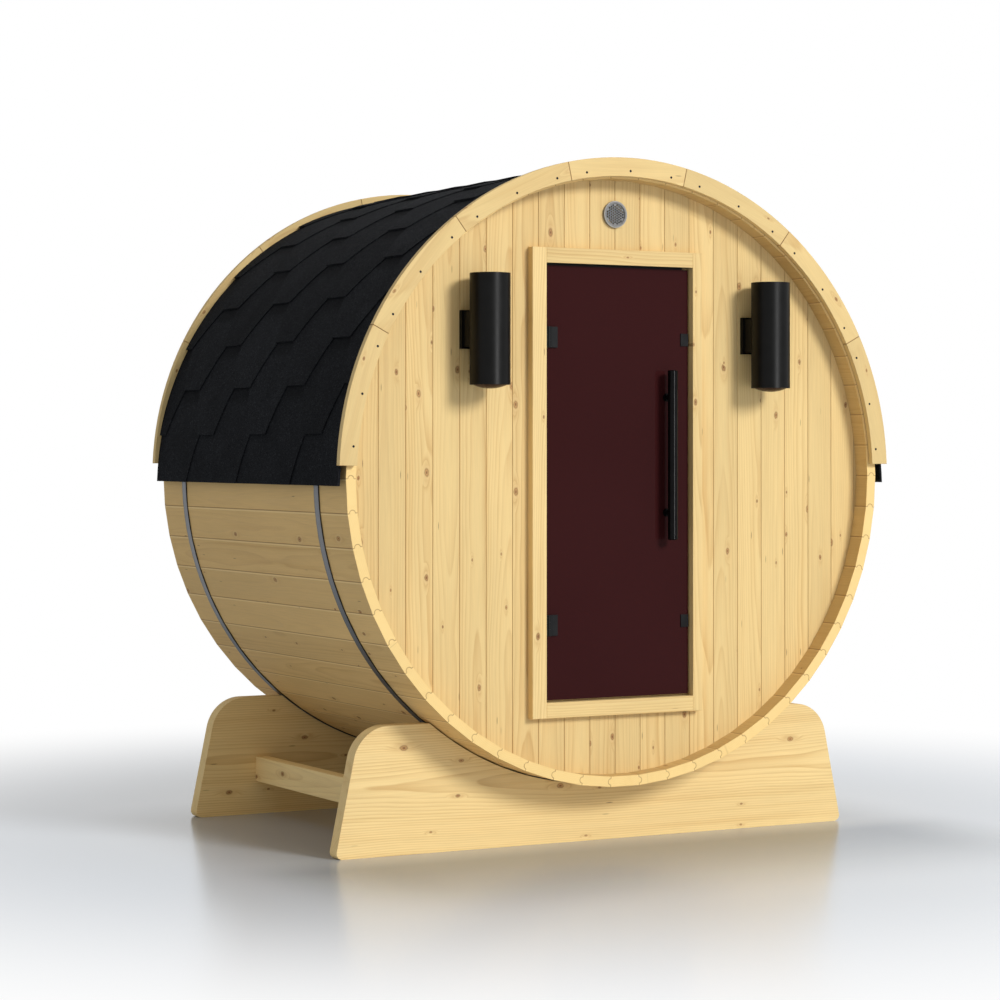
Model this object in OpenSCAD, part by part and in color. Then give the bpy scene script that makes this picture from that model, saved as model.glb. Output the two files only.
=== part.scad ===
// Barrel sauna: a round cabin of bead-and-cove staves on two cradles, with
// end walls let into a groove in the staves, a hinged glass door in a proud
// wooden frame, a shingled upper half and a pair of wall lamps.
// Frame: +X right, +Y to the back, +Z up, ground at Z = 0, millimetres.

/* [Barrel] */
// Radius over the outer corners of the staves
barrel_r = 900; // [750:10:1200]
// Length of the staves
stave_l = 1340; // [1100:10:2400]
// Thickness of the staves
stave_t = 30; // [26:1:44]
// Number of staves round the barrel
stave_count = 58; // [44:2:72]
// Open joint between neighbouring staves
stave_gap = 0.5; // [0.3:0.1:1]
// Radius of the bead along a stave's upper edge
bead_r = 9; // [6:0.5:11]
// Height of the lowest stave corners above the ground
ground_gap = 171; // [130:1:240]

/* [End walls] */
// Distance from the stave ends to the outer face of an end wall
wall_recess = 60; // [40:1:120]
// Thickness of the end walls
wall_t = 38; // [30:1:60]
// Depth of the groove in the staves that holds an end wall
croze_depth = 8; // [4:1:12]
// Clearance of an end wall in its groove
croze_gap = 0.4; // [0.2:0.1:1]

/* [Door frame] */
// Clear width between the jambs
doorway_w = 500; // [420:5:620]
// Distance from the middle of the wall to the middle of the doorway, to the right
doorway_shift = 7; // [-20:1:20]
// Height of the doorway's lower edge above the lowest inside face of the barrel
sill_rise = 219; // [180:1:300]
// Distance from the doorway's upper edge to the highest inside face of the barrel
head_drop = 249; // [200:1:400]
// Face width of the head and the sill
frame_w = 45; // [35:1:70]
// Face width of the hinge jamb
hinge_jamb_w = 47; // [35:1:70]
// Face width of the latch jamb
latch_jamb_w = 33; // [25:1:70]
// Distance that the frame stands proud of the wall
frame_proud = 27; // [10:1:40]
// Width of the stop behind the glass
stop_w = 15; // [8:1:25]
// Gap between the glass and the stop
stop_gap = 8; // [6:0.5:14]

/* [Glass door] */
// Thickness of the glass
glass_t = 8; // [6:1:12]
// Distance from the face of the frame back to the glass
glass_setback = 20; // [18:1:26]
// Gap round the edge of the glass
glass_gap = 6; // [5:0.5:10]
// Diameter of the handle tubes
handle_d = 30; // [20:1:40]
// Length of the handle tubes
handle_l = 500; // [300:10:800]
// Distance from the glass to the axis of a handle tube
handle_reach = 36; // [30:1:80]
// Distance from the latch edge of the glass to the handle axis
handle_inset = 75; // [50:1:120]
// Height of the handle's middle above the middle of the glass
handle_lift = 79; // [-100:1:120]
// Distance between the two handle posts
handle_pitch = 340; // [200:10:440]
// Diameter of the handle posts
handle_post_d = 14; // [10:1:20]
// Width of the flange round a post, against the glass
handle_flange_w = 5; // [3:0.5:8]
// Thickness of the flange round a post
handle_flange_t = 4; // [2:0.5:6]
// Size of the chamfer on the ends of the handle tubes
handle_chamfer = 2; // [1:0.5:4]

/* [Hinges] */
// Height of a hinge
hinge_h = 60; // [50:1:90]
// Width of the clamp plates on the glass
clamp_w = 38; // [30:1:60]
// Thickness of the clamp plates
clamp_t = 6; // [4:0.5:7]
// Diameter of the clamp bolts through the glass
clamp_bolt_d = 8; // [6:1:12]
// Clearance round a post or bolt in its hole through the glass
glass_hole_gap = 1; // [0.5:0.1:2]
// Diameter of the hinge pin
pin_d = 8; // [6:0.5:10]
// Clearance between the pin and its bore, on the radius
pin_gap = 0.06; // [0.02:0.01:0.1]
// Diameter of the hinge knuckles
knuckle_d = 14; // [13:0.5:18]
// Gap between the knuckles of a hinge
knuckle_gap = 0.6; // [0.3:0.1:1.5]
// Distance from the hinge jamb to the pin axis
pin_inset = 11; // [10:0.5:16]
// Distance from the face of the frame back to the pin axis
pin_setback = 8; // [7.5:0.5:9]
// Thickness of the bracket plate on the jamb
bracket_t = 3; // [2:0.5:3.5]
// Distance from the upper edge of the glass to the middle of the upper hinge
upper_hinge_inset = 208; // [100:1:300]
// Distance from the lower edge of the glass to the middle of the lower hinge
lower_hinge_inset = 216; // [100:1:300]
// Width of a strike plate at the latch edge
strike_w = 26; // [18:1:40]
// Height of a strike plate
strike_h = 37; // [24:1:60]
// Thickness of a strike plate
strike_t = 3; // [2:0.5:4]

/* [Cradles] */
// Distance from the stave ends to a cradle
cradle_inset = 138; // [80:1:260]
// Thickness of the cradles
cradle_t = 46; // [36:1:80]
// Height of the cradles
cradle_h = 369; // [320:1:420]
// Half the width of a cradle at the ground
cradle_foot = 866; // [800:1:1000]
// Half the width of a cradle at its top corners
cradle_top = 790; // [740:1:860]
// Radius of a cradle's top corners
cradle_top_r = 112; // [40:1:130]
// Radius of a cradle's bottom corners
cradle_foot_r = 18; // [5:1:40]
// Clearance between a cradle's seat and the band in it
seat_gap = 0.1; // [0.05:0.05:0.5]
// Thickness of the beams between the cradles
beam_t = 42; // [30:1:60]
// Depth of the beams
beam_h = 78; // [60:1:120]
// Height of the beams' lower edge above the ground
beam_z = 103; // [60:1:160]
// Distance from the middle plane to a beam's outer face
beam_x = 661; // [500:1:700]

/* [Bands] */
// Width of the steel bands
band_w = 30; // [20:1:60]
// Distance from the front stave ends to the nearer edge of the front band
front_band_inset = 176; // [140:1:190]
// Distance from the rear stave ends to the nearer edge of the rear band
rear_band_inset = 162; // [140:1:190]
// Thickness of the steel bands
band_t = 3; // [0.8:0.1:4]
// Clearance between a band and the stave corners
band_gap = 0.1; // [0.05:0.05:0.3]

/* [Roof] */
// Number of shingle courses on each side
course_count = 9; // [6:1:14]
// Height of a course's lower edge above the roof base
course_butt = 13; // [9:0.5:18]
// Height of a course's upper edge above the roof base
course_head = 4.5; // [3:0.5:6]
// Gap between neighbouring courses
course_gap = 0.4; // [0.2:0.1:1]
// Extra height of the roof's lower edge, where the courses stand off the barrel
roof_flare = 12; // [0:1:14]
// Number of courses over which that height runs out
flare_count = 4; // [2:1:6]
// Gap between the bands and the roof base
roof_gap = 0.5; // [0.2:0.1:1]
// Depth of the roof's lower edge below the barrel axis
roof_drop = 20; // [0:1:60]
// Half the width of the ridge course
ridge_half_w = 154; // [60:1:220]

/* [Fascia] */
// Radial width of the fascia
fascia_w = 55; // [46:1:80]
// Thickness of the fascia
fascia_t = 20; // [12:1:30]
// Distance that the fascia stands outside the staves
fascia_rise = 30; // [22:1:40]
// Height of the fascia's lower ends above the barrel axis
fascia_end_z = 36; // [10:1:100]
// Number of boards in a fascia
fascia_count = 7; // [5:1:11]
// Open joint between fascia boards
fascia_gap = 0.8; // [0.4:0.1:2]

/* [Lamps] */
// Diameter of the lamp bodies
lamp_d = 116; // [80:1:140]
// Length of the lamp bodies
lamp_l = 316; // [200:2:400]
// Distance from the wall to a lamp's axis
lamp_reach = 81; // [75:1:120]
// Distance from the door frame to the left lamp's axis
left_lamp_offset = 169; // [110:1:210]
// Distance from the door frame to the right lamp's axis
right_lamp_offset = 208; // [110:1:210]
// Distance from the highest inside face of the barrel down to the lamps' middle
lamp_drop = 447; // [400:1:700]
// Side of the square plate behind a lamp
lamp_plate_w = 110; // [90:1:130]
// Thickness of the plate behind a lamp
lamp_plate_t = 14; // [8:1:18]
// Distance from the plate's edge in to the square neck in front of it
lamp_neck_inset = 5; // [0:1:15]
// Wall thickness of a lamp body round its lens
lamp_rim_t = 5; // [3:0.5:8]
// Depth of the recess that holds the lower lens
lamp_recess = 14; // [10:1:30]
// Depth of the recess that holds the upper lens, which stays below the rim
lamp_top_recess = 30; // [28:1:60]
// Height of a lens
lens_h = 25; // [18:1:36]
// Clearance round a lens in its recess
lens_gap = 0.5; // [0.2:0.1:1]

/* [Vent] */
// Diameter of the vent's rim
vent_d = 78; // [60:1:100]
// Distance that the vent's rim stands proud of the wall
vent_proud = 9; // [5:0.5:14]
// Radial width of the vent's rim
vent_rim_w = 5; // [3:0.5:8]
// Distance from the highest inside face of the barrel down to the vent's middle
vent_drop = 99; // [70:1:140]
// Wall thickness of the vent's sleeve
vent_sleeve_t = 2; // [1:0.5:3]
// Clearance of the vent's sleeve in the wall
vent_gap = 0.5; // [0.3:0.1:1]
// Thickness of the vent's face plate
vent_plate_t = 2; // [1:0.5:3]
// Distance from the front of the rim back to the face plate
vent_plate_setback = 3; // [1:0.5:5]
// Diameter of the holes in the face plate
vent_perforation_d = 6; // [4:0.5:6.5]
// Distance between neighbouring holes in the face plate
vent_perforation_pitch = 7.5; // [7:0.5:14]

/* [Floor] */
// Height of the floor's top above the lowest inside face of the barrel
floor_rise = 168; // [120:1:170]
// Thickness of the floor boards
floor_t = 28; // [20:1:40]
// Number of floor boards
floor_count = 8; // [6:1:10]
// Gap between floor boards
floor_gap = 8; // [4:1:15]
// Thickness of the bearers under the floor
bearer_t = 45; // [30:1:60]
// Number of bearers under the floor
bearer_count = 3; // [2:1:5]
// Clearance between the floor and what surrounds it
floor_clear = 2; // [1:0.5:6]

/* [Hidden] */
$fn = 96;
barrel_fn = 360;
over = 1;

// Barrel axis: the working origin is on it, in the plane of the front stave ends
axis_z = ground_gap + barrel_r;
lamp_front = lamp_reach + lamp_d / 2 - wall_recess;
front_y = -(stave_l + fascia_t - lamp_front) / 2;

// Staves: flat faces between corners on the barrel radius
stave_pitch = 360 / stave_count;
half_pitch = stave_pitch / 2;
outer_flat_r = barrel_r * cos(half_pitch);
inner_flat_r = outer_flat_r - stave_t;
joint_r = (outer_flat_r + inner_flat_r) / 2 / cos(half_pitch);
group_count = 8;

// End walls
croze_r = inner_flat_r + croze_depth;
wall_r = croze_r - croze_gap;
wall_back = wall_recess + wall_t;
rear_wall_y = stave_l - wall_back;

// Door frame
frame_y = wall_recess - frame_proud;
frame_depth = frame_proud + wall_t;
doorway_left = doorway_shift - doorway_w / 2;
doorway_right = doorway_shift + doorway_w / 2;
frame_left = doorway_left - hinge_jamb_w;
frame_right = doorway_right + latch_jamb_w;
doorway_top = inner_flat_r - head_drop;
doorway_bottom = sill_rise - inner_flat_r;
frame_top = doorway_top + frame_w;
frame_bottom = doorway_bottom - frame_w;

// Glass
glass_y = frame_y + glass_setback;
glass_back = glass_y + glass_t;
stop_y = glass_back + stop_gap;
glass_left = doorway_left + glass_gap;
glass_right = doorway_right - glass_gap;
glass_top = doorway_top - glass_gap;
glass_bottom = doorway_bottom + glass_gap;
handle_x = glass_right - handle_inset;
handle_z = (glass_top + glass_bottom) / 2 + handle_lift;
handle_flange_d = handle_post_d + 2 * handle_flange_w;

// Hinges
pin_x = doorway_left + pin_inset;
pin_y = frame_y + pin_setback;
knuckle_h = (hinge_h - 2 * knuckle_gap) / 3;
clamp_x = glass_left;
clamp_bolt_x = clamp_x + clamp_w / 2;
clamp_bolt_z = hinge_h / 4;
upper_hinge_z = glass_top - upper_hinge_inset;
lower_hinge_z = glass_bottom + lower_hinge_inset;
hinge_heights = [upper_hinge_z, lower_hinge_z];

// Bands and roof
band_r = barrel_r + band_gap;
seat_r = band_r + band_t + seat_gap;
roof_r = band_r + band_t + roof_gap;
roof_start = -asin(roof_drop / roof_r);
ridge_half = asin(ridge_half_w / roof_r);
course_step = (90 - ridge_half - roof_start) / course_count;
course_slack = course_gap / 2 / roof_r * 180 / PI;

// Fascia
fascia_r = barrel_r + fascia_rise;
fascia_inner_r = fascia_r - fascia_w;
fascia_start = asin(fascia_end_z / fascia_r);
fascia_step = (180 - 2 * fascia_start) / fascia_count;
fascia_slack = fascia_gap / 2 / fascia_r * 180 / PI;

// Lamps
lamp_y = wall_recess - lamp_reach;
lamp_z = inner_flat_r - lamp_drop;
left_lamp_x = frame_left - left_lamp_offset;
right_lamp_x = frame_right + right_lamp_offset;
lamp_neck_w = lamp_plate_w - 2 * lamp_neck_inset;
lens_d = lamp_d - 2 * lamp_rim_t;

// Vent
vent_sleeve_r = vent_d / 2 - vent_rim_w;
vent_hole_r = vent_sleeve_r + vent_gap;
vent_z = inner_flat_r - vent_drop;
vent_perforation_r = vent_sleeve_r - vent_sleeve_t - vent_perforation_d / 2 - 1;

// Floor
floor_y = wall_back + floor_clear;
floor_l = rear_wall_y - floor_clear - floor_y;
bearer_r = inner_flat_r - floor_clear;
floor_z = floor_rise - inner_flat_r;
floor_half_w = sqrt(pow(bearer_r, 2) - pow(floor_z - floor_t, 2));
floor_board_w = (2 * floor_half_w - (floor_count - 1) * floor_gap) / floor_count;

pine = [0.87, 0.72, 0.47];
pine_shade = [0.80, 0.64, 0.40];
black_metal = [0.03, 0.03, 0.035];
steel = [0.62, 0.63, 0.64];
bitumen = [0.04, 0.04, 0.045];
tinted = [0.20, 0.08, 0.09, 0.8];
lens_dark = [0.16, 0.07, 0.06];

// Places children made about the barrel axis
module on_axis() {
    translate([0, front_y, axis_z]) children();
}

// Extrudes an outline drawn in X and Z along the barrel, from y for a length
module along(y, length) {
    on_axis() translate([0, y + length, 0]) rotate([90, 0, 0]) linear_extrude(length) children();
}

// An upright round bar about the point x, y, from z for a height
module upright(x, y, z, height, d) {
    on_axis() translate([x, y, z]) cylinder(d = d, h = height);
}

// A box between two corners, given about the barrel axis
module block(low, high) {
    on_axis() translate(low) cube(high - low);
}

// Part of a turn as an outline, from the axis out past radius r
module wedge(start, stop, r) {
    reach = r / cos((stop - start) / 2) + over;
    middle = (start + stop) / 2;
    polygon([
        [0, 0],
        reach * [cos(start), sin(start)],
        reach * [cos(middle), sin(middle)],
        reach * [cos(stop), sin(stop)]
    ]);
}

// What a fillet of radius r takes off corner c, whose edges leave along a and b
module corner_waste(c, a, b, r) {
    half = acos(a * b) / 2;
    setback = r / tan(half);
    centre = c + (a + b) / norm(a + b) * r / sin(half);
    difference() {
        polygon([c + a * setback, c - (a + b), c + b * setback, centre]);
        translate(centre) circle(r);
    }
}

// Edge of a stave: a bead that stands out, or the cove that takes one
module edge_round(side, r) {
    translate([side * joint_r * sin(half_pitch), joint_r * cos(half_pitch)]) circle(r);
}

// Section of a stave, with its outer face towards +Y
module stave_section(left_bead, right_bead) {
    inset = stave_gap / 2 / cos(half_pitch);
    outer_half = outer_flat_r * tan(half_pitch) - inset;
    inner_half = inner_flat_r * tan(half_pitch) - inset;
    difference() {
        union() {
            polygon([
                [-outer_half, outer_flat_r],
                [-inner_half, inner_flat_r],
                [inner_half, inner_flat_r],
                [outer_half, outer_flat_r]
            ]);
            if (left_bead) edge_round(-1, bead_r);
            if (right_bead) edge_round(1, bead_r);
        }
        if (!left_bead) edge_round(-1, bead_r + stave_gap);
        if (!right_bead) edge_round(1, bead_r + stave_gap);
    }
}

// The staves of one eighth of the barrel: beads point up on both sides, so the
// lowest stave has two beads and the highest two coves
module stave_group(group) {
    half_count = stave_count / 2;
    color(pine) for (k = [0 : stave_count - 1])
        if (floor(k * group_count / stave_count + 0.5) % group_count == group)
            difference() {
                along(0, stave_l) rotate(k * stave_pitch - 180)
                    stave_section(k < half_count, k == 0 || k > half_count);
                for (y = [wall_recess, rear_wall_y])
                    along(y - croze_gap / 2, wall_t + croze_gap) circle(croze_r, $fn = barrel_fn);
            }
}

// Cradle outline about the barrel axis, with a straight foot and leaning sides
module cradle_outline() {
    lean = [cradle_top - cradle_foot, cradle_h] / norm([cradle_top - cradle_foot, cradle_h]);
    translate([0, -axis_z]) difference() {
        polygon([[-cradle_foot, 0], [cradle_foot, 0], [cradle_top, cradle_h], [-cradle_top, cradle_h]]);
        for (side = [0, 1]) mirror([side, 0]) {
            corner_waste([cradle_top, cradle_h], [-1, 0], -lean, cradle_top_r);
            corner_waste([cradle_foot, 0], [-1, 0], lean, cradle_foot_r);
        }
    }
}

module cradle(y) {
    color(pine) along(y, cradle_t) difference() {
        cradle_outline();
        circle(seat_r, $fn = barrel_fn);
    }
}

module cradle_beam(side) {
    y = cradle_inset + cradle_t;
    low = side > 0 ? beam_x - beam_t : -beam_x;
    color(pine_shade) block([low, y, beam_z - axis_z], [low + beam_t, stave_l - y, beam_z + beam_h - axis_z]);
}

module band(y) {
    color(steel) along(y, band_w) difference() {
        circle(band_r + band_t, $fn = barrel_fn);
        circle(band_r, $fn = barrel_fn);
    }
}

// Part of an end wall, between two corners in X and Z
module wall_part(low, high) {
    intersection() {
        circle(wall_r, $fn = barrel_fn);
        translate(low) square(high - low);
    }
}

module front_wall_side(side) {
    low = side > 0 ? frame_right : -wall_r;
    high = side > 0 ? wall_r : frame_left;
    color(pine) along(wall_recess, wall_t) wall_part([low, -wall_r], [high, wall_r]);
}

module front_wall_over_door() {
    color(pine) along(wall_recess, wall_t) difference() {
        wall_part([frame_left, frame_top], [frame_right, wall_r]);
        translate([0, vent_z]) circle(vent_hole_r);
    }
}

module front_wall_under_door() {
    color(pine) along(wall_recess, wall_t) wall_part([frame_left, -wall_r], [frame_right, frame_bottom]);
}

module rear_wall() {
    color(pine_shade) along(rear_wall_y, wall_t) circle(wall_r, $fn = barrel_fn);
}

module floor_boards() {
    color(pine_shade) for (i = [0 : floor_count - 1]) {
        x = -floor_half_w + i * (floor_board_w + floor_gap);
        block([x, floor_y, floor_z - floor_t], [x + floor_board_w, floor_y + floor_l, floor_z]);
    }
}

// Bearers shaped to the inside of the barrel
module floor_bearers() {
    step = (floor_l - bearer_t) / (bearer_count - 1);
    color(pine_shade) for (i = [0 : bearer_count - 1])
        along(floor_y + i * step, bearer_t) intersection() {
            circle(bearer_r, $fn = barrel_fn);
            translate([-bearer_r, -bearer_r]) square([2 * bearer_r, bearer_r + floor_z - floor_t]);
        }
}

// Section of the latch jamb, face towards -Y, with a stop on its +X edge
module rebated_section() {
    square([latch_jamb_w, frame_depth]);
    translate([0, stop_y - frame_y]) square([latch_jamb_w + stop_w, frame_y + frame_depth - stop_y]);
}

module hinge_jamb() {
    color(pine) block([frame_left, frame_y, frame_bottom], [doorway_left, wall_back, frame_top]);
}

module latch_jamb() {
    color(pine) on_axis() translate([frame_right, frame_y, frame_bottom]) mirror([1, 0, 0])
        linear_extrude(frame_top - frame_bottom) rebated_section();
}

// A frame member laid across the doorway, with its stop towards the opening
module frame_rail(z, turn) {
    length = doorway_w - stop_w;
    color(pine) on_axis() {
        block_low = turn > 0 ? z : z - frame_w;
        translate([doorway_left, frame_y, block_low]) cube([doorway_w, stop_y - frame_y, frame_w]);
        stop_low = turn > 0 ? z - stop_w : z - frame_w;
        translate([doorway_left, stop_y, stop_low])
            cube([length, frame_y + frame_depth - stop_y, frame_w + stop_w]);
    }
}

module door_head() {
    frame_rail(doorway_top, 1);
}

module door_sill() {
    frame_rail(doorway_bottom, -1);
}

// Bracket on the hinge jamb: plate, two knuckles and the pin that joins them
module hinge_bracket(z) {
    low = z - hinge_h / 2;
    color(black_metal) {
        for (i = [0, 2]) {
            base = low + i * (knuckle_h + knuckle_gap);
            upright(pin_x, pin_y, base, knuckle_h, knuckle_d);
            block(
                [doorway_left, pin_y - knuckle_d / 4, base],
                [pin_x, pin_y + knuckle_d / 4, base + knuckle_h]
            );
        }
        block(
            [doorway_left, pin_y - knuckle_d / 2, low],
            [doorway_left + bracket_t, pin_y + knuckle_d / 2, low + hinge_h]
        );
        upright(pin_x, pin_y, low, hinge_h, pin_d);
    }
}

// Clamp on the glass: two plates, the bolts through the glass and a knuckle
module hinge_clamp(z) {
    knuckle_z = z - knuckle_h / 2;
    color(black_metal) difference() {
        union() {
            for (y = [glass_y - clamp_t, glass_back])
                block([clamp_x, y, z - hinge_h / 2], [clamp_x + clamp_w, y + clamp_t, z + hinge_h / 2]);
            for (side = [-1, 1]) on_axis()
                translate([clamp_bolt_x, glass_y - clamp_t / 2, z + side * clamp_bolt_z]) rotate([-90, 0, 0])
                    cylinder(d = clamp_bolt_d, h = glass_t + clamp_t);
            upright(pin_x, pin_y, knuckle_z, knuckle_h, knuckle_d);
            block([pin_x, pin_y, knuckle_z], [pin_x + knuckle_d / 2, glass_y, knuckle_z + knuckle_h]);
        }
        upright(pin_x, pin_y, knuckle_z - over, knuckle_h + 2 * over, pin_d + 2 * pin_gap);
        for (side = [-1, 1]) hinge_relief(z, side);
    }
}

// Room in a clamp plate for the bracket's knuckle above or below its own
module hinge_relief(z, side) {
    start = side > 0 ? z + knuckle_h / 2 : z - hinge_h / 2 - over;
    upright(pin_x, pin_y, start, knuckle_h + knuckle_gap + over, knuckle_d + 2 * knuckle_gap);
}

// Round hole through the glass at x, z
module glass_hole(x, z, d) {
    on_axis() translate([x, glass_y - over, z]) rotate([-90, 0, 0]) cylinder(d = d, h = glass_t + 2 * over);
}

module door_glass() {
    color(tinted) difference() {
        block([glass_left, glass_y, glass_bottom], [glass_right, glass_back, glass_top]);
        for (side = [-1, 1]) {
            glass_hole(handle_x, handle_z + side * handle_pitch / 2, handle_post_d + 2 * glass_hole_gap);
            for (z = hinge_heights)
                glass_hole(clamp_bolt_x, z + side * clamp_bolt_z, clamp_bolt_d + 2 * glass_hole_gap);
        }
    }
}

// A pull tube on each face of the glass, with shared posts through it
module door_handle() {
    outer_y = glass_y - handle_reach;
    inner_y = glass_back + handle_reach;
    color(black_metal) {
        for (y = [outer_y, inner_y]) handle_tube(y);
        for (side = [-1, 1]) on_axis() translate([handle_x, 0, handle_z + side * handle_pitch / 2]) {
            translate([0, outer_y, 0]) rotate([-90, 0, 0]) cylinder(d = handle_post_d, h = inner_y - outer_y);
            for (y = [glass_y - handle_flange_t, glass_back])
                translate([0, y, 0]) rotate([-90, 0, 0]) cylinder(d = handle_flange_d, h = handle_flange_t);
        }
    }
}

// One pull tube, turned with softened ends
module handle_tube(y) {
    r = handle_d / 2;
    half = handle_l / 2;
    on_axis() translate([handle_x, y, handle_z]) rotate_extrude() polygon([
        [0, -half],
        [r - handle_chamfer, -half],
        [r, -half + handle_chamfer],
        [r, half - handle_chamfer],
        [r - handle_chamfer, half],
        [0, half]
    ]);
}

// Plates on both faces of the glass at its latch edge
module door_strikes() {
    color(black_metal) for (z = hinge_heights, y = [glass_y - strike_t, glass_back])
        block([glass_right - strike_w, y, z - strike_h / 2], [glass_right, y + strike_t, z + strike_h / 2]);
}

// Vent: proud rim, face plate and the sleeve through the wall
module vent_grille() {
    color(steel) on_axis() translate([0, wall_recess - vent_proud, vent_z]) rotate([-90, 0, 0]) {
        difference() {
            cylinder(d = vent_d, h = vent_proud);
            translate([0, 0, -over]) cylinder(r = vent_sleeve_r, h = vent_proud + 2 * over);
        }
        difference() {
            cylinder(r = vent_sleeve_r, h = vent_proud + wall_t);
            translate([0, 0, -over])
                cylinder(r = vent_sleeve_r - vent_sleeve_t, h = vent_proud + wall_t + 2 * over);
        }
        difference() {
            translate([0, 0, vent_plate_setback]) cylinder(r = vent_sleeve_r, h = vent_plate_t);
            vent_perforations();
        }
    }
}

// Staggered upright rows of holes through the vent's face plate, as far out as they clear the sleeve
module vent_perforations() {
    row_step = vent_perforation_pitch * sin(60);
    rows = floor(vent_perforation_r / row_step);
    holes = ceil(vent_perforation_r / vent_perforation_pitch);
    for (row = [-rows : rows], hole = [-holes : holes]) {
        place = [row * row_step, (hole + (row % 2) / 2) * vent_perforation_pitch];
        if (norm(place) <= vent_perforation_r)
            translate([place[0], place[1], vent_plate_setback - over])
                cylinder(d = vent_perforation_d, h = vent_plate_t + 2 * over, $fn = 24);
    }
}

module lamp_plate(x) {
    half = lamp_plate_w / 2;
    color(black_metal) block(
        [x - half, wall_recess - lamp_plate_t, lamp_z - half],
        [x + half, wall_recess, lamp_z + half]
    );
}

// Round lamp body with a recess for a lens at each end and a square neck behind
module lamp_body(x) {
    half = lamp_neck_w / 2;
    end_z = lamp_z - lamp_l / 2;
    color(black_metal) difference() {
        union() {
            upright(x, lamp_y, end_z, lamp_l, lamp_d);
            block([x - half, lamp_y, lamp_z - half], [x + half, wall_recess - lamp_plate_t, lamp_z + half]);
        }
        upright(x, lamp_y, end_z - over, lamp_recess + over, lens_d);
        upright(x, lamp_y, end_z + lamp_l - lamp_top_recess, lamp_top_recess + over, lens_d);
    }
}

// Domed lenses, one at each end of a lamp: the lower one stands proud
module lamp_lenses(x) {
    color(lens_dark) on_axis() translate([x, lamp_y, lamp_z]) {
        translate([0, 0, lamp_l / 2 - lamp_top_recess]) lens();
        mirror([0, 0, 1]) translate([0, 0, lamp_l / 2 - lamp_recess]) lens();
    }
}

// A lens: flat back on z = 0, short cylindrical edge and a domed face
module lens() {
    edge_h = lens_h / 2;
    edge_r = lens_d / 2 - lens_gap;
    crown = lens_h - edge_h;
    dome_r = (pow(edge_r, 2) + pow(crown, 2)) / 2 / crown;
    intersection() {
        cylinder(r = edge_r, h = lens_h);
        translate([0, 0, lens_h - dome_r]) sphere(dome_r);
    }
}

// A shingle course between two angles, thicker along its lower edge
module roof_course(start, stop, start_rise, stop_rise, y_from, y_to) {
    middle = (start + stop) / 2;
    low = roof_r + start_rise;
    high = roof_r + stop_rise;
    color(bitumen) along(y_from, y_to - y_from) difference() {
        polygon([
            (roof_r - over) * [cos(start), sin(start)],
            low * [cos(start), sin(start)],
            (low + high) / 2 * [cos(middle), sin(middle)],
            high * [cos(stop), sin(stop)],
            (roof_r - over) * [cos(stop), sin(stop)]
        ]);
        circle(roof_r, $fn = barrel_fn);
    }
}

// Extra height at the lower edge of the course with this number, counted from the bottom
function flare(i) = i < flare_count ? roof_flare * pow(1 - i / flare_count, 1.5) : 0;

module roof_side(side) {
    mirror([side, 0, 0]) for (i = [0 : course_count - 1]) {
        start = roof_start + i * course_step;
        stop = start + course_step - 2 * course_slack;
        roof_course(start, stop, course_butt + flare(i), course_head + flare(i + 1), 0, stave_l);
    }
}

module roof_ridge() {
    roof_course(90 - ridge_half, 90 + ridge_half, course_butt, course_butt, 0, stave_l);
}

module fascia(y) {
    color(pine) for (i = [0 : fascia_count - 1]) {
        start = fascia_start + i * fascia_step;
        first = i == 0 ? 0 : start + fascia_slack;
        last = i == fascia_count - 1 ? 180 : start + fascia_step - fascia_slack;
        along(y, fascia_t) intersection() {
            difference() {
                circle(fascia_r, $fn = barrel_fn);
                circle(fascia_inner_r, $fn = barrel_fn);
            }
            wedge(first, last, fascia_r);
            translate([-fascia_r, fascia_end_z]) square([2 * fascia_r, fascia_r]);
        }
    }
}

cradle(cradle_inset);  // front_cradle
cradle(stave_l - cradle_inset - cradle_t);  // rear_cradle
cradle_beam(-1);  // left_cradle_beam
cradle_beam(1);  // right_cradle_beam
stave_group(0);  // staves_bottom
stave_group(1);  // staves_lower_right
stave_group(2);  // staves_right
stave_group(3);  // staves_upper_right
stave_group(4);  // staves_top
stave_group(5);  // staves_upper_left
stave_group(6);  // staves_left
stave_group(7);  // staves_lower_left
band(front_band_inset);  // front_band
band(stave_l - rear_band_inset - band_w);  // rear_band
front_wall_side(-1);  // front_wall_left
front_wall_side(1);  // front_wall_right
front_wall_over_door();
front_wall_under_door();
rear_wall();
floor_boards();
floor_bearers();
hinge_jamb();
latch_jamb();
door_head();
door_sill();
hinge_bracket(upper_hinge_z);  // upper_hinge_bracket
hinge_bracket(lower_hinge_z);  // lower_hinge_bracket
door_glass();
door_handle();
hinge_clamp(upper_hinge_z);  // upper_hinge_clamp
hinge_clamp(lower_hinge_z);  // lower_hinge_clamp
door_strikes();
vent_grille();
lamp_plate(left_lamp_x);  // left_lamp_plate
lamp_body(left_lamp_x);  // left_lamp_body
lamp_lenses(left_lamp_x);  // left_lamp_lenses
lamp_plate(right_lamp_x);  // right_lamp_plate
lamp_body(right_lamp_x);  // right_lamp_body
lamp_lenses(right_lamp_x);  // right_lamp_lenses
roof_side(1);  // roof_left
roof_side(0);  // roof_right
roof_ridge();
fascia(-fascia_t);  // front_fascia
fascia(stave_l);  // rear_fascia
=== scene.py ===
"""Looks of the barrel sauna: materials, boards, shingles, screws, studio and camera.

Metres and radians. The frame's axes hold: x to the right of the front, y to the
rear, z up. The barrel's own axis runs along y, at the height of the bands' centre.
"""

import math
import random
from types import SimpleNamespace

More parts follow.
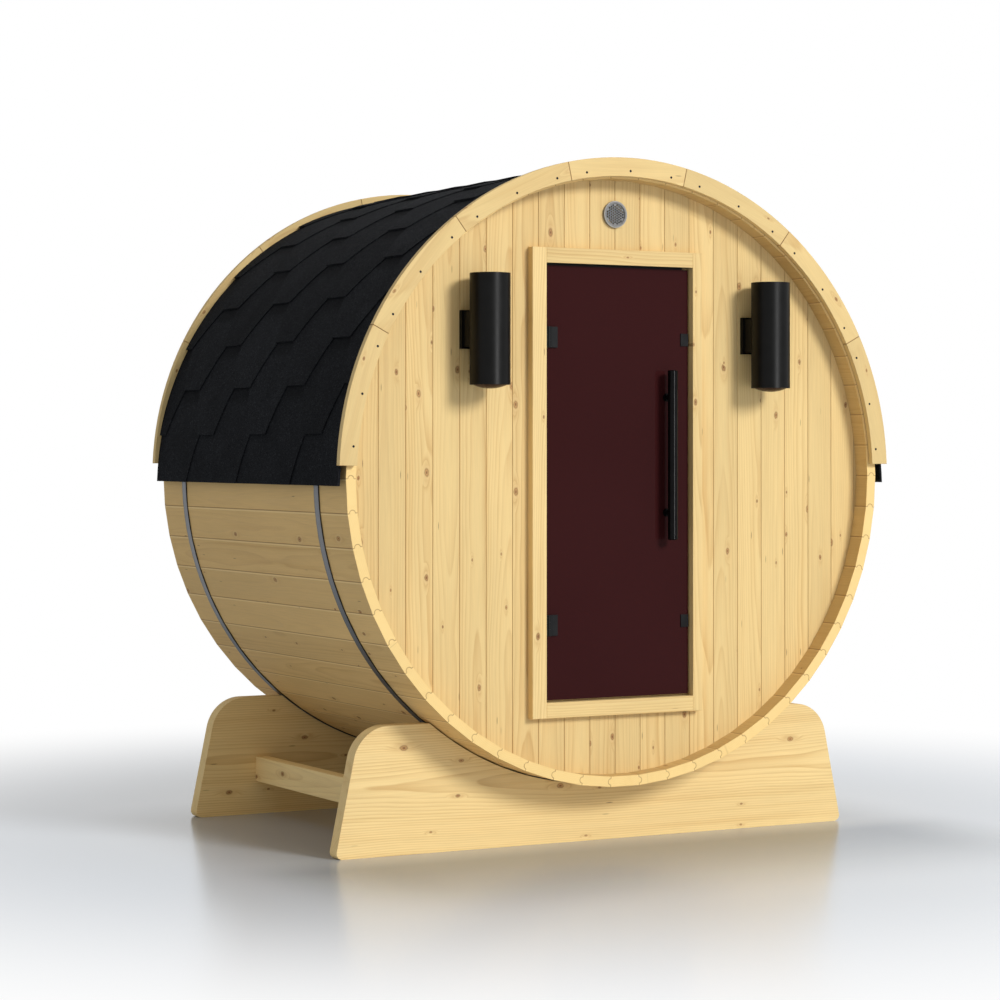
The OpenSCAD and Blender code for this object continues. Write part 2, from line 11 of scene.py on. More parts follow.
import bmesh
import bpy
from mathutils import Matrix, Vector


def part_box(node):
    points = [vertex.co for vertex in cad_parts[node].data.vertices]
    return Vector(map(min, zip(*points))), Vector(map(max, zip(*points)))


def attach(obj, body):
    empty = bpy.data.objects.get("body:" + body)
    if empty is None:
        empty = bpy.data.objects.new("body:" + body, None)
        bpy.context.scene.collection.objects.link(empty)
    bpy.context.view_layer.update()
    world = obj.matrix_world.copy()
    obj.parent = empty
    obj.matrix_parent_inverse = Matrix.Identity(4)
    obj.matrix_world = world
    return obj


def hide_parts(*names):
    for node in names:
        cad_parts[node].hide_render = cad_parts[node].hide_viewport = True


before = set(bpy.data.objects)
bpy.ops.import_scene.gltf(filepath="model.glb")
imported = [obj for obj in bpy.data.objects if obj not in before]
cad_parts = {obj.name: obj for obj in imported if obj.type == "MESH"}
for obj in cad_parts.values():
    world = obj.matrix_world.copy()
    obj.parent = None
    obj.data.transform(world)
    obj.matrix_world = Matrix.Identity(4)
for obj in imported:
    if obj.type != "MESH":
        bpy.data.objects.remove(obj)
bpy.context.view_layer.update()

# Places read from the frame

BAND_LOW, BAND_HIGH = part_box("front_band")
AXIS_Z = (BAND_LOW.z + BAND_HIGH.z) / 2
BAND_R = (BAND_HIGH.z - BAND_LOW.z) / 2
FRONT_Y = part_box("staves_bottom")[0].y
REAR_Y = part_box("staves_bottom")[1].y
MIDDLE_Y = (FRONT_Y + REAR_Y) / 2
HALF_L = (REAR_Y - FRONT_Y) / 2
VENT_LOW, VENT_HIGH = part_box("vent_grille")
VENT_Z = (VENT_LOW.z + VENT_HIGH.z) / 2
HEAD_LOW, HEAD_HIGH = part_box("door_head")
STOP_W = 0.015
DOORWAY_TOP = HEAD_LOW.z + STOP_W
FRONT_WALL_LOW, FRONT_WALL_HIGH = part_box("front_wall_left")
REAR_WALL_LOW, REAR_WALL_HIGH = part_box("rear_wall")
FLOOR_LOW, FLOOR_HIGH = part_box("floor_boards")

# Boards: sizes, joints, openings and eased arrises, and the first number in each set

STAVE_COUNT = 58
STAVE_STEP = math.tau / STAVE_COUNT
STAVE_START = -math.pi / 2 - STAVE_STEP / 2
STAVE_MID_R = 0.884
STAVE_BEAD_R = 0.009
STAVE_JOINT_R = 0.885
STAVE_ARRIS = 0.0022
STAVE_FIRST = 100.0
FASCIA_START = math.radians(2.22)
FASCIA_STEP = math.radians(25.08)
FASCIA_MID_R = 0.9025
FASCIA_INNER_R = 0.875
FASCIA_BOARDS = 7
FASCIA_ARRIS = 0.0014
FASCIA_FIRST = 300.0
WALL_R = 0.8762
WALL_BOARD_W = 0.086
WALL_JOINT_X = 0.0027
WALL_JOINT_GAP = 0.0004
WALL_JOINT_DEPTH = 0.004
WALL_CHAMFER = 0.0014
WALL_COLUMNS = 6
FRONT_WALL_FIRST = 400.0
REAR_WALL_FIRST = 500.0
VENT_BORE_R = 0.0345
FRAME_CLEARANCE = 0.0004
# Where the painted shade under the door's head ends, and how far behind the head's face it starts
REBATE_SHADE_EDGE = 0.0006
REBATE_SHADE_SETBACK = 0.003
FLOOR_BOARDS = 8
FLOOR_PITCH = (FLOOR_HIGH.x - FLOOR_LOW.x) / FLOOR_BOARDS
FLOOR_ARRIS = 0.002
FLOOR_FIRST = 600.0
EASE_SEGMENTS = 2
EASE_ANGLE = math.radians(35)
WELD_DISTANCE = 1e-5

# Nodes of one board: the axes along it, across it and into it, its eased arris, its
# number among all boards, how coarse its grain is, how far it is paled (partly painted
# light on the shaded beams and rear cradle) and how strong its rings are
SINGLE_BOARDS = (
    ("front_cradle", 0, 2, 1, 0.004, 42, 1.1, 0.48, 0.95),
    ("rear_cradle", 0, 2, 1, 0.004, 16, 1.1, 0.6, 0.8),
    ("left_cradle_beam", 1, 2, 0, 0.003, 57, 1.0, 1.0, 0.45),
    ("right_cradle_beam", 1, 2, 0, 0.003, 48, 1.0, 1.0, 0.45),
    ("hinge_jamb", 2, 0, 1, 0.0015, 15, 1.0, 0.25, 0.9),
    ("latch_jamb", 2, 0, 1, 0.0015, 54, 1.0, 0.0, 1.0),
    ("door_head", 0, 2, 1, 0.0015, 28, 1.0, 0.0, 1.0),
    ("door_sill", 0, 2, 1, 0.0015, 50, 1.0, 0.0, 1.0),
    ("floor_bearers", 0, 2, 1, 0.002, 8, 1.0, 0.0, 1.0),
)

# Screws of the fascias, each ring of their profile a radius and a depth

SCREW_R = 0.891
SCREW_SHARES = (0.12, 0.48, 0.86)
SCREW_PROFILE = ((0.0013, -0.0001), (0.0016, -0.0005), (0.0032, -0.0006), (0.0038, 0.0003))
SCREW_SIDES = 16

# Hexagonal shingles, their lengths up the slope measured along the roof's arc

ROOF_BASE_R = BAND_R + 0.0006
ROOF_ARC_R = 0.908
ROOF_EDGE_ARC = -0.020
ROOF_FLARE = 0.012
FLARE_ARC = 0.574
FLARE_POWER = 1.5
RIDGE_ARC = math.pi / 2 * ROOF_ARC_R
COURSE_COUNT = 9
COURSE_EXPOSURE = 0.1435
TAB_PITCH = 0.386
TAB_EDGE_W = 0.125
NOTCH_TOP_W = 0.117
TAB_PHASES = (0.385, 0.196)
SHINGLE_T = 0.0030
SHINGLE_RISE = 0.0032
SHINGLE_HEAD_LAP = 0.030
TAB_LAYERS = 3
STARTER_LAYERS = 2
STARTER_TONE = 0.5
TAB_LIFT = 0.0012
TAB_LEVELS = 5
RIDGE_HALF_W = 0.154
RIDGE_EXPOSURE = 0.192
RIDGE_STEPS = 8

# Light and camera

CAMERA_PLACE = (-4.199, -7.5115, 1.156)
CAMERA_TURN = (math.radians(90.54), 0.0, math.radians(-28.84))
CAMERA_LENS = 99.4
CAMERA_SHIFT_Y = -0.0781
KEY_TURN = math.radians(20.0)
KEY_RISE = math.radians(25.5)
KEY_DISTANCE = 20.0
KEY_SIZE = 5.7
KEY_POWER = 2580.0
FILL_STRENGTH = 0.40
STRIP_TURN = math.radians(8.0)
STRIP_DISTANCE = 8.0
STRIP_HEIGHT = 1.35
STRIP_SIZE = (1.4, 3.0)
STRIP_POWER = 260.0
LOOK_AT = Vector((0.0, 0.0, 1.0))

# Where most values of a noise lie

USUAL = (0.3, 0.7)
WIDE = (0.25, 0.75)


class Graph:
    """Adds shader nodes to one tree and links them."""

    def __init__(self, tree):
        self.tree = tree

    def feed(self, socket, value):
        if isinstance(value, bpy.types.NodeSocket):
            self.tree.links.new(value, socket)
        else:
            socket.default_value = value

    def node(self, kind, inputs=None, **settings):
        node = self.tree.nodes.new(kind)
        for name, value in settings.items():
            setattr(node, name, value)
        for key, value in (inputs or {}).items():
            self.feed(node.inputs[key], value)
        return node

    def here(self):
        """The point's own coordinates in the frame."""
        return self.node("ShaderNodeTexCoord").outputs["Object"]

    def math(self, operation, first, second=0.0):
        return self.node("ShaderNodeMath", {0: first, 1: second}, operation=operation).outputs[0]

    def times(self, first, *others):
        for other in others:
            first = self.math("MULTIPLY", first, other)
        return first

    def plus(self, base, value, amount):
        """The base with an amount of value added."""
        return self.math("ADD", base, self.times(value, amount))

    def centred(self, chance):
        """A chance from 0 to 1 moved to lie about 0."""
        return self.math("SUBTRACT", chance, 0.5)

    def apart(self, value, place):
        """The distance of value from a place on its scale."""
        return self.math("ABSOLUTE", self.math("SUBTRACT", value, place))

    def vector(self, operation, first, second=(0.0, 0.0, 0.0)):
        node = self.node("ShaderNodeVectorMath", {0: first, 1: second}, operation=operation)
        return node.outputs["Value" if operation == "LENGTH" else "Vector"]

    def oval_length(self, away, oval):
        """The length of a way on axes stretched as an oval."""
        return self.vector("LENGTH", self.vector("MULTIPLY", away, oval))

    def combine(self, x, y, z):
        return self.node("ShaderNodeCombineXYZ", {0: x, 1: y, 2: z}).outputs[0]

    def separate(self, vector):
        return self.node("ShaderNodeSeparateXYZ", {0: vector}).outputs

    def smooth(self, value, zero_at, one_at, low=0.0, high=1.0):
        """A soft step of value, from low at zero_at to high at one_at."""
        inputs = {"Value": value, "From Min": zero_at, "From Max": one_at, "To Min": low, "To Max": high}
        return self.node("ShaderNodeMapRange", inputs, interpolation_type="SMOOTHSTEP").outputs["Result"]

    def noise(self, vector, waves, detail=2.0):
        """Noise from 0 to 1, with its waves per metre as one number or one for each axis."""
        stretch = waves if isinstance(waves, tuple) else (waves, waves, waves)
        inputs = {"Vector": self.vector("MULTIPLY", vector, stretch), "Scale": 1.0, "Detail": detail}
        return self.node("ShaderNodeTexNoise", inputs).outputs["Fac"]

    def mix(self, share, low, high, blend="MIX"):
        node = self.node("ShaderNodeMix", {0: share, 6: low, 7: high}, data_type="RGBA", blend_type=blend)
        return node.outputs[2]

    def overlay(self, tone, layers):
        """A colour under layers, each a share and a colour."""
        for share, shade in layers:
            tone = self.mix(share, tone, shade)
        return tone

    def dim(self, tone, shade):
        """A colour made darker or lighter by a factor."""
        return self.mix(1.0, tone, self.combine(shade, shade, shade), "MULTIPLY")

    def bump(self, height, strength, distance):
        inputs = {"Height": height, "Strength": strength, "Distance": distance}
        return self.node("ShaderNodeBump", inputs).outputs["Normal"]


def new_material(name):
    """An empty material with its Principled shader, linked to its output, and its graph."""
    material = bpy.data.materials.new(name)
    material.use_nodes = True
    material.node_tree.nodes.clear()
    graph = Graph(material.node_tree)
    shader = graph.node("ShaderNodeBsdfPrincipled")
    output = graph.node("ShaderNodeOutputMaterial")
    material.node_tree.links.new(shader.outputs["BSDF"], output.inputs["Surface"])
    return material, graph, shader


def colour(red, green, blue):
    return (red, green, blue, 1.0)


# Pine: its colours, and the share of each where it is laid over another

EARLY_WOOD = colour(0.80, 0.582, 0.256)
LATE_WOOD = colour(0.56, 0.315, 0.093)
# Pale wood: a paler tone of some boards, partly painted light on the shaded beams and rear cradle, and the
# painted highlight on the staves' upper arrises
PALE_AND_LIT_WOOD = colour(1.0, 0.755, 0.36)
WARM_STREAK = colour(0.66, 0.395, 0.130)
WARM_SHARE = 0.38
KNOT_HALO = colour(0.60, 0.350, 0.125)
HALO_SHARE = 0.40
KNOT_PALE = colour(0.84, 0.640, 0.330)
PALE_SHARE = 0.25
KNOT_LIGHT = colour(0.51, 0.265, 0.092)
KNOT_DARK = colour(0.29, 0.125, 0.040)
KNOT_SHARE = 0.72
KNOT_RIM = colour(0.17, 0.068, 0.020)
RIM_SHARE = 0.50
KNOT_HEART = colour(0.18, 0.072, 0.024)
HEART_SHARE = 0.85
SLIT_BROWN = colour(0.13, 0.055, 0.020)
SLIT_SHARE = 0.75
# Brown of the joints, also used as painted shade at the back of the fascias' inner edge
JOINT_AND_SHADE_BROWN = colour(0.40, 0.215, 0.075)
WALL_JOINT_SHARE = 0.36
RING_JOINT_SHARE = 0.8
# Painted shade: a brown line at the back of the fascias' inner edge, where the fascia shades the stave ends
FASCIA_BACK_SHADE_SHARE = 0.8
# Painted highlight: a pale line along each stave's upper arris, where light catches the edge
ARRIS_HIGHLIGHT_SHARE = 0.6
# Painted warm shade: a warmer, darker tint on the staves' outer faces, in place of bounced light
STAVE_SHADE_TINT = colour(0.72, 0.40, 0.124)
STAVE_SHADE_TINT_SHARE = 0.38
# Painted shade: a darker brown on the staves' inner faces, which the key light doesn't reach
INNER_FACE_SHADE = colour(0.50, 0.30, 0.10)
INNER_FACE_SHADE_SHARE = 0.42
END_GRAIN = colour(1.0, 0.71, 0.285)
END_GRAIN_SHARE = 0.68
END_JOINT = colour(0.34, 0.170, 0.055)
END_JOINT_SHARE = 0.62
# Painted shade: black under the door's head, in the rebate above the glass
REBATE_SHADE_BLACK = colour(0.008, 0.007, 0.007)
PINE_ROUGHNESS = (0.66, 0.52)
PINE_BUMP = (0.35, 0.0006)
PINE_SPECULAR = 0.22

# Grain: waves and cells per metre along, across and into a board, and lengths in metres

BOARD_SPREAD = (9.0, 4.0, 4.0)
FIBRE_WAVES = (11.0, 430.0, 430.0)
STREAK_WAVES = (1.1, 42.0, 26.0)
CLOUD_WAVES = (1.6, 9.0, 9.0)
RING_SPACING = 0.0054
RING_DRIFT_WAVES = (1.2, 5.0, 5.0)
RING_DRIFT = 0.026
RING_WANDER_WAVES = (3.0, 22.0, 22.0)
RING_WANDER = 0.0050
RING_BULGE = 0.0075
RING_LEAN = 0.03
PITH_ASIDE = 0.10
PITH_DEPTH = 0.035
PITH_DEPTH_SPREAD = 0.07
LATE_POWER = 2.6
LATE_END = 0.90
LATE_HEIGHT = 0.35
FIBRE_HEIGHT = 0.65

# Strength of the rings by board and by streak, and factors on the tone

STRIPE_CHANCES = (0.1, 0.9)
STRIPE_SHARES = (0.34, 1.0)
RING_SHARES = (0.30, 0.85)
WARM_STREAKS = (0.50, 0.80)
GRAIN_TONES = (0.96, 1.03)
BOARD_TONES = (0.93, 1.045)

# Knots and resin slits, with the knots' parts in radii of the knot

KNOT_CELLS = (4.0, 11.0, 1.0)
KNOT_OVAL = (0.62, 1.0, 0.0)
HALO_OVAL = (0.26, 1.0, 0.0)
KNOT_RADII = (0.0026, 0.0068)
KNOT_RADIUS_POWER = 1.6
CLEAR_CELLS = 0.32
KNOT_EDGE_WAVES = (90.0, 160.0, 160.0)
KNOT_EDGE_ROUGHNESS = 0.7
KNOT_EDGE = (1.05, 0.75)
HEART_EDGE = (0.55, 0.15)
HALO_EDGE = (2.6, 0.4)
RIM_AT, RIM_W = 0.95, 0.3
PALE_AT, PALE_W = 1.65, 0.5
SLIT_CELLS = (4.1, 17.0, 1.0)
SLIT_OVAL = (0.10, 1.0, 0.0)
SLIT_EDGE = (0.0015, 0.0005)
SLIT_CHANCES = (0.70, 0.95)

# Places on the boards: where a shade starts and where it is full

JOINT_SHADE_W = 0.0024
END_JOINT_W = 0.0021
FACE_FADE = 0.003
OUTER_FACE = (0.0120, 0.0140)
INNER_FACE = (-0.0130, -0.0148)
# Where the painted highlight on a stave's upper arris starts and where it is full
ARRIS_HIGHLIGHT_SPAN = (0.0070, 0.0045)
STAVE_END = (0.0020, 0.0004)
# Where the painted shade behind the fascia's inner edge starts and where it is full
FASCIA_BACK_SHADE = (0.0040, 0.0015)
FASCIA_EDGE_W = 0.002

PINE_SOCKETS = (
    ("Grain", "INPUT", "NodeSocketVector"),
    ("Board", "INPUT", "NodeSocketFloat"),
    ("Early", "INPUT", "NodeSocketColor"),
    ("Contrast", "INPUT", "NodeSocketFloat"),
    ("Color", "OUTPUT", "NodeSocketColor"),
    ("Roughness", "OUTPUT", "NodeSocketFloat"),
    ("Height", "OUTPUT", "NodeSocketFloat"),
)


def scattered(g, moved, cells):
    """Spots scattered over the grain: the way from the nearest one, and three chances of its own."""
    place = g.vector("MULTIPLY", moved, cells)
    pattern = g.node("ShaderNodeTexVoronoi", {"Vector": place, "Scale": 1.0}, voronoi_dimensions="2D")
    away = g.vector("DIVIDE", g.vector("SUBTRACT", place, pattern.outputs["Position"]), cells)
    return away, g.separate(pattern.outputs["Color"])


def pine_knots(g, moved):
    """The knots' halo, which bends the rings, and all layers of the knots; some spots hold no knot."""
    away, (size_chance, has_chance, tone_chance) = scattered(g, moved, KNOT_CELLS)
    size = g.smooth(g.math("POWER", size_chance, KNOT_RADIUS_POWER), 0.0, 1.0, *KNOT_RADII)
    has_knot = g.math("GREATER_THAN", has_chance, CLEAR_CELLS)
    rough_edge = g.times(g.centred(g.noise(moved, KNOT_EDGE_WAVES)), KNOT_EDGE_ROUGHNESS)
    reach = g.math("ADD", g.math("DIVIDE", g.oval_length(away, KNOT_OVAL), size), rough_edge)
    halo = g.smooth(g.math("DIVIDE", g.oval_length(away, HALO_OVAL), size), *HALO_EDGE)
    halo = g.times(halo, has_knot)
    pale = g.smooth(g.apart(reach, PALE_AT), PALE_W, 0.0)
    rim = g.smooth(g.apart(reach, RIM_AT), RIM_W, 0.0)
    knot_tone = g.mix(tone_chance, KNOT_DARK, KNOT_LIGHT)
    layers = [
        (g.times(halo, HALO_SHARE), KNOT_HALO),
        (g.times(pale, has_knot, PALE_SHARE), KNOT_PALE),
        (g.times(g.smooth(reach, *KNOT_EDGE), has_knot, KNOT_SHARE), knot_tone),
        (g.times(rim, has_knot, RIM_SHARE), KNOT_RIM),
        (g.times(g.smooth(reach, *HEART_EDGE), has_knot, HEART_SHARE), KNOT_HEART),
    ]
    return halo, layers


def pine_slits(g, moved):
    """The layer of resin slits: short dark strokes along the grain."""
    away, chances = scattered(g, moved, SLIT_CELLS)
    stroke = g.smooth(g.oval_length(away, SLIT_OVAL), *SLIT_EDGE)
    return g.times(stroke, g.smooth(chances[0], *SLIT_CHANCES), SLIT_SHARE), SLIT_BROWN


def pine_late_wood(g, grain, moved, pith_chances, halo):
    """The dark part of each growth ring, about a pith that wanders along the board."""
    along, across, into = g.separate(grain)
    aside, depth, lean = pith_chances
    across = g.plus(across, g.centred(aside), -PITH_ASIDE)
    into = g.plus(g.math("ADD", into, PITH_DEPTH), depth, PITH_DEPTH_SPREAD)
    radius = g.vector("LENGTH", g.combine(0.0, across, into))
    radius = g.plus(radius, g.centred(g.noise(moved, RING_DRIFT_WAVES)), RING_DRIFT)
    radius = g.plus(radius, g.centred(g.noise(moved, RING_WANDER_WAVES)), RING_WANDER)
    radius = g.plus(radius, halo, RING_BULGE)
    radius = g.plus(radius, along, g.times(g.centred(lean), RING_LEAN))
    turn = g.math("FRACT", g.math("DIVIDE", radius, RING_SPACING))
    return g.times(g.math("POWER", turn, LATE_POWER), g.smooth(turn, 1.0, LATE_END))


def make_pine_group():
    """Solid pine: grain coordinates in metres, x along the grain, to colour, roughness and height."""
    group = bpy.data.node_groups.new("pine_grain", "ShaderNodeTree")
    for name, direction, kind in PINE_SOCKETS:
        group.interface.new_socket(name=name, in_out=direction, socket_type=kind)
    g = Graph(group)
    entry = g.node("NodeGroupInput").outputs

    # Each board is cut from another place in another tree.
    chance = g.node("ShaderNodeTexWhiteNoise", {"W": entry["Board"]}, noise_dimensions="1D").outputs
    pith_chances = g.separate(chance["Color"])
    moved = g.vector("ADD", entry["Grain"], g.vector("MULTIPLY", chance["Color"], BOARD_SPREAD))
    halo, knot_layers = pine_knots(g, moved)
    late = pine_late_wood(g, entry["Grain"], moved, pith_chances, halo)
    fibre = g.noise(moved, FIBRE_WAVES, detail=3.0)
    streak = g.noise(moved, STREAK_WAVES, detail=3.0)
    cloud = g.noise(moved, CLOUD_WAVES)

    stripes = g.times(g.smooth(pith_chances[1], *STRIPE_CHANCES, *STRIPE_SHARES), entry["Contrast"])
    ring_share = g.times(late, g.smooth(streak, *WIDE, *RING_SHARES), stripes)
    warm_share = g.times(g.smooth(streak, *WARM_STREAKS, 0.0, WARM_SHARE), stripes)
    tone = g.overlay(entry["Early"], [(ring_share, LATE_WOOD), (warm_share, WARM_STREAK)])
    shade = g.times(g.smooth(fibre, *WIDE, *GRAIN_TONES), g.smooth(cloud, *USUAL, *GRAIN_TONES))
    tone = g.dim(tone, g.times(shade, g.smooth(chance["Value"], 0.0, 1.0, *BOARD_TONES)))
    tone = g.overlay(tone, knot_layers + [pine_slits(g, moved)])

    finish = g.node("NodeGroupOutput").inputs
    g.feed(finish["Color"], tone)
    g.feed(finish["Roughness"], g.smooth(late, 0.0, 1.0, *PINE_ROUGHNESS))
    g.feed(finish["Height"], g.plus(g.times(late, LATE_HEIGHT), fibre, FIBRE_HEIGHT))
    return group


PINE_GROUP = make_pine_group()


def make_pine(name, place_grain):
    """A pine material; place_grain gives the inputs of its grain and the shades laid over it."""
    material, g, shader = new_material(name)
    inputs, shades = place_grain(g, g.separate(g.here()))
    wood = g.node("ShaderNodeGroup", inputs, node_tree=PINE_GROUP).outputs
    g.feed(shader.inputs["Base Color"], g.overlay(wood["Color"], shades))
    g.feed(shader.inputs["Roughness"], wood["Roughness"])
    g.feed(shader.inputs["Normal"], g.bump(wood["Height"], *PINE_BUMP))
    shader.inputs["Specular IOR Level"].default_value = PINE_SPECULAR
    return material


def board_inputs(grain, number, early=EARLY_WOOD, contrast=1.0):
    """The pine's inputs: grain coordinates, the board's number, its early wood, its rings' strength."""
    return {"Grain": grain, "Board": number, "Early": early, "Contrast": contrast}


def one_board(node, along, across, depth, number, coarseness, paleness_and_light, contrast):
    """Grain for a node that is a single board, along one of the axes 0, 1 or 2."""
    low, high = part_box(node)
    middle = (low + high) / 2
    # the early wood paled, which on the shaded beams and rear cradle is partly painted light
    early = [plain + (pale - plain) * paleness_and_light for plain, pale in zip(EARLY_WOOD, PALE_AND_LIT_WOOD)]

    def place(g, axes):
        local = [g.math("SUBTRACT", axes[axis], middle[axis]) for axis in (along, across, depth)]
        grain = g.vector("DIVIDE", g.combine(*local), (coarseness, coarseness, coarseness))
        # painted shade under the door's head
        shades = [(head_rebate_shade(g, axes), REBATE_SHADE_BLACK)] if node == "door_head" else []
        return board_inputs(grain, float(number), early, contrast), shades

    return place


def head_rebate_shade(g, axes):
    """Painted shade: black along the rebate under the door's head, where the head shades the gap above the
    glass.
    """
    under = g.math("LESS_THAN", axes[2], DOORWAY_TOP + REBATE_SHADE_EDGE)
    return g.times(under, g.math("GREATER_THAN", axes[1], HEAD_LOW.y + REBATE_SHADE_SETBACK))


def near_joint(g, distance, most):
    """The brown shade that gathers beside a joint, given the distance to it and its share there."""
    return g.smooth(distance, JOINT_SHADE_W, JOINT_SHADE_W / 3, 0.0, most)


def within_board(g, steps, pitch):
    """The number of the board that a point is in, and its way from the board's middle."""
    number = g.math("FLOOR", steps)
    return number, g.times(g.centred(g.math("SUBTRACT", steps, number)), pitch)


def row_of_boards(along, across, depth, face, start, pitch, first_number):
    """Grain for boards side by side across one axis, with their faces at one place in depth."""

    def place(g, axes):
        steps = g.math("DIVIDE", g.math("SUBTRACT", axes[across], start), pitch)
        number, local = within_board(g, steps, pitch)
        from_joint = g.math("SUBTRACT", pitch / 2, g.math("ABSOLUTE", local))
        grain = g.combine(axes[along], local, g.math("SUBTRACT", axes[depth], face))
        shades = [(near_joint(g, from_joint, WALL_JOINT_SHARE), JOINT_AND_SHADE_BROWN)]
        return board_inputs(grain, g.math("ADD", number, first_number)), shades

    return place


def round_the_barrel(g, axes, start, step, mid_r):
    """Where a point is among boards round the barrel's axis, with ways from the middle of its board."""
    up = g.math("SUBTRACT", axes[2], AXIS_Z)
    turned = g.math("DIVIDE", g.math("SUBTRACT", g.math("ARCTAN2", up, axes[0]), start), step)
    number, angle = within_board(g, turned, step)
    radius = g.vector("LENGTH", g.combine(axes[0], up, 0.0))
    return SimpleNamespace(
        number=number,
        angle=angle,
        radius=radius,
        aside=g.times(radius, g.math("SINE", angle)),
        outward=g.math("SUBTRACT", g.times(radius, g.math("COSINE", angle)), mid_r),
        from_joint=g.times(radius, g.math("SUBTRACT", step / 2, g.math("ABSOLUTE", angle))),
        from_middle=g.apart(axes[1], MIDDLE_Y),
    )


def bead_joint(g, before, outward):
    """The line between bead and cove, from the ways before the joint's radius and out from its centre."""
    reach = g.vector("LENGTH", g.combine(before, outward, 0.0))
    arc = g.times(g.smooth(g.apart(reach, STAVE_BEAD_R), END_JOINT_W, 0.0), g.math("LESS_THAN", before, 0.0))
    clear = g.math("GREATER_THAN", g.math("ABSOLUTE", outward), STAVE_BEAD_R)
    straight = g.times(g.smooth(g.math("ABSOLUTE", before), END_JOINT_W, 0.0), clear)
    return g.math("MAXIMUM", arc, straight)


def stave_grain(g, axes):
    """Grain along the barrel, with painted warm shade on the outer faces and painted shade on the inner
    ones, joints on the faces, painted highlights on the upper arrises and lined pale ends.
    """
    spot = round_the_barrel(g, axes, STAVE_START, STAVE_STEP, STAVE_MID_R)
    on_face = g.smooth(g.math("ABSOLUTE", spot.outward), STAVE_BEAD_R, STAVE_BEAD_R + FACE_FADE)
    end = g.smooth(spot.from_middle, HALF_L - STAVE_END[0], HALF_L - STAVE_END[1])
    before = g.times(spot.from_joint, g.math("SIGN", g.times(spot.angle, axes[0])))
    line = bead_joint(g, before, g.math("SUBTRACT", spot.radius, STAVE_JOINT_R))
    # painted highlight along the upper arris beside each stave joint
    arris_highlight = g.times(g.smooth(before, *ARRIS_HIGHLIGHT_SPAN), g.math("GREATER_THAN", before, 0.0))
    # painted warm shade on the staves' outer faces
    early = g.mix(g.smooth(spot.outward, *OUTER_FACE, 0.0, STAVE_SHADE_TINT_SHARE), EARLY_WOOD, STAVE_SHADE_TINT)
    shades = [
        (g.times(arris_highlight, on_face, ARRIS_HIGHLIGHT_SHARE), PALE_AND_LIT_WOOD),
        # painted shade on the staves' inner faces
        (g.smooth(spot.outward, *INNER_FACE, 0.0, INNER_FACE_SHADE_SHARE), INNER_FACE_SHADE),
        (g.times(near_joint(g, spot.from_joint, RING_JOINT_SHARE), on_face), JOINT_AND_SHADE_BROWN),
        (g.times(end, END_GRAIN_SHARE), END_GRAIN),
        (g.times(end, line, END_JOINT_SHARE), END_JOINT),
    ]
    grain = g.combine(axes[1], spot.aside, spot.outward)
    return board_inputs(grain, g.math("ADD", spot.number, STAVE_FIRST), early), shades


def fascia_grain(g, axes):
    """Grain bent round the barrel, with joints, and painted shade at the back of the inner edge, where the
    fascia meets the stave ends.
    """
    spot = round_the_barrel(g, axes, FASCIA_START, FASCIA_STEP, FASCIA_MID_R)
    # painted shade where the fascia's inner edge meets the stave ends
    back = g.smooth(
        spot.from_middle, HALF_L + FASCIA_BACK_SHADE[0], HALF_L + FASCIA_BACK_SHADE[1], 0.0, FASCIA_BACK_SHADE_SHARE)
    inner_edge = g.math("LESS_THAN", spot.radius, FASCIA_INNER_R + FASCIA_EDGE_W)
    shades = [
        (near_joint(g, spot.from_joint, RING_JOINT_SHARE), JOINT_AND_SHADE_BROWN),
        (g.times(back, inner_edge), JOINT_AND_SHADE_BROWN),
    ]
    grain = g.combine(spot.aside, spot.outward, axes[1])
    return board_inputs(grain, g.math("ADD", spot.number, FASCIA_FIRST)), shades


# Shingles

SHINGLE_DARK = colour(0.0068, 0.0072, 0.0082)
SHINGLE_LIGHT = colour(0.0221, 0.0234, 0.0263)
SPECK_GREY = colour(0.040, 0.042, 0.046)
GRIT_WAVES = 520.0
GRIT_RANGE = (0.35, 0.7)
SPECK_CELLS = 330.0
SPECK_RANGE = (0.86, 0.98)
SPECK_SHARE = 0.6
PATCH_WAVES = 9.0
PATCH_TONES = (0.88, 1.1)
TAB_TONES = (0.86, 1.12)
LAP_ARC = 2 * COURSE_EXPOSURE
LAP_SHADE_ARC = (0.055, 0.025)
LAP_SHADE_WIDTHS = (0.58, 0.46)
LAP_SHADE = 0.35
SHINGLE_ROUGHNESS = (0.92, 0.74)
SHINGLE_BUMP = (0.6, 0.0012)
SHINGLE_SPECULAR = 0.02


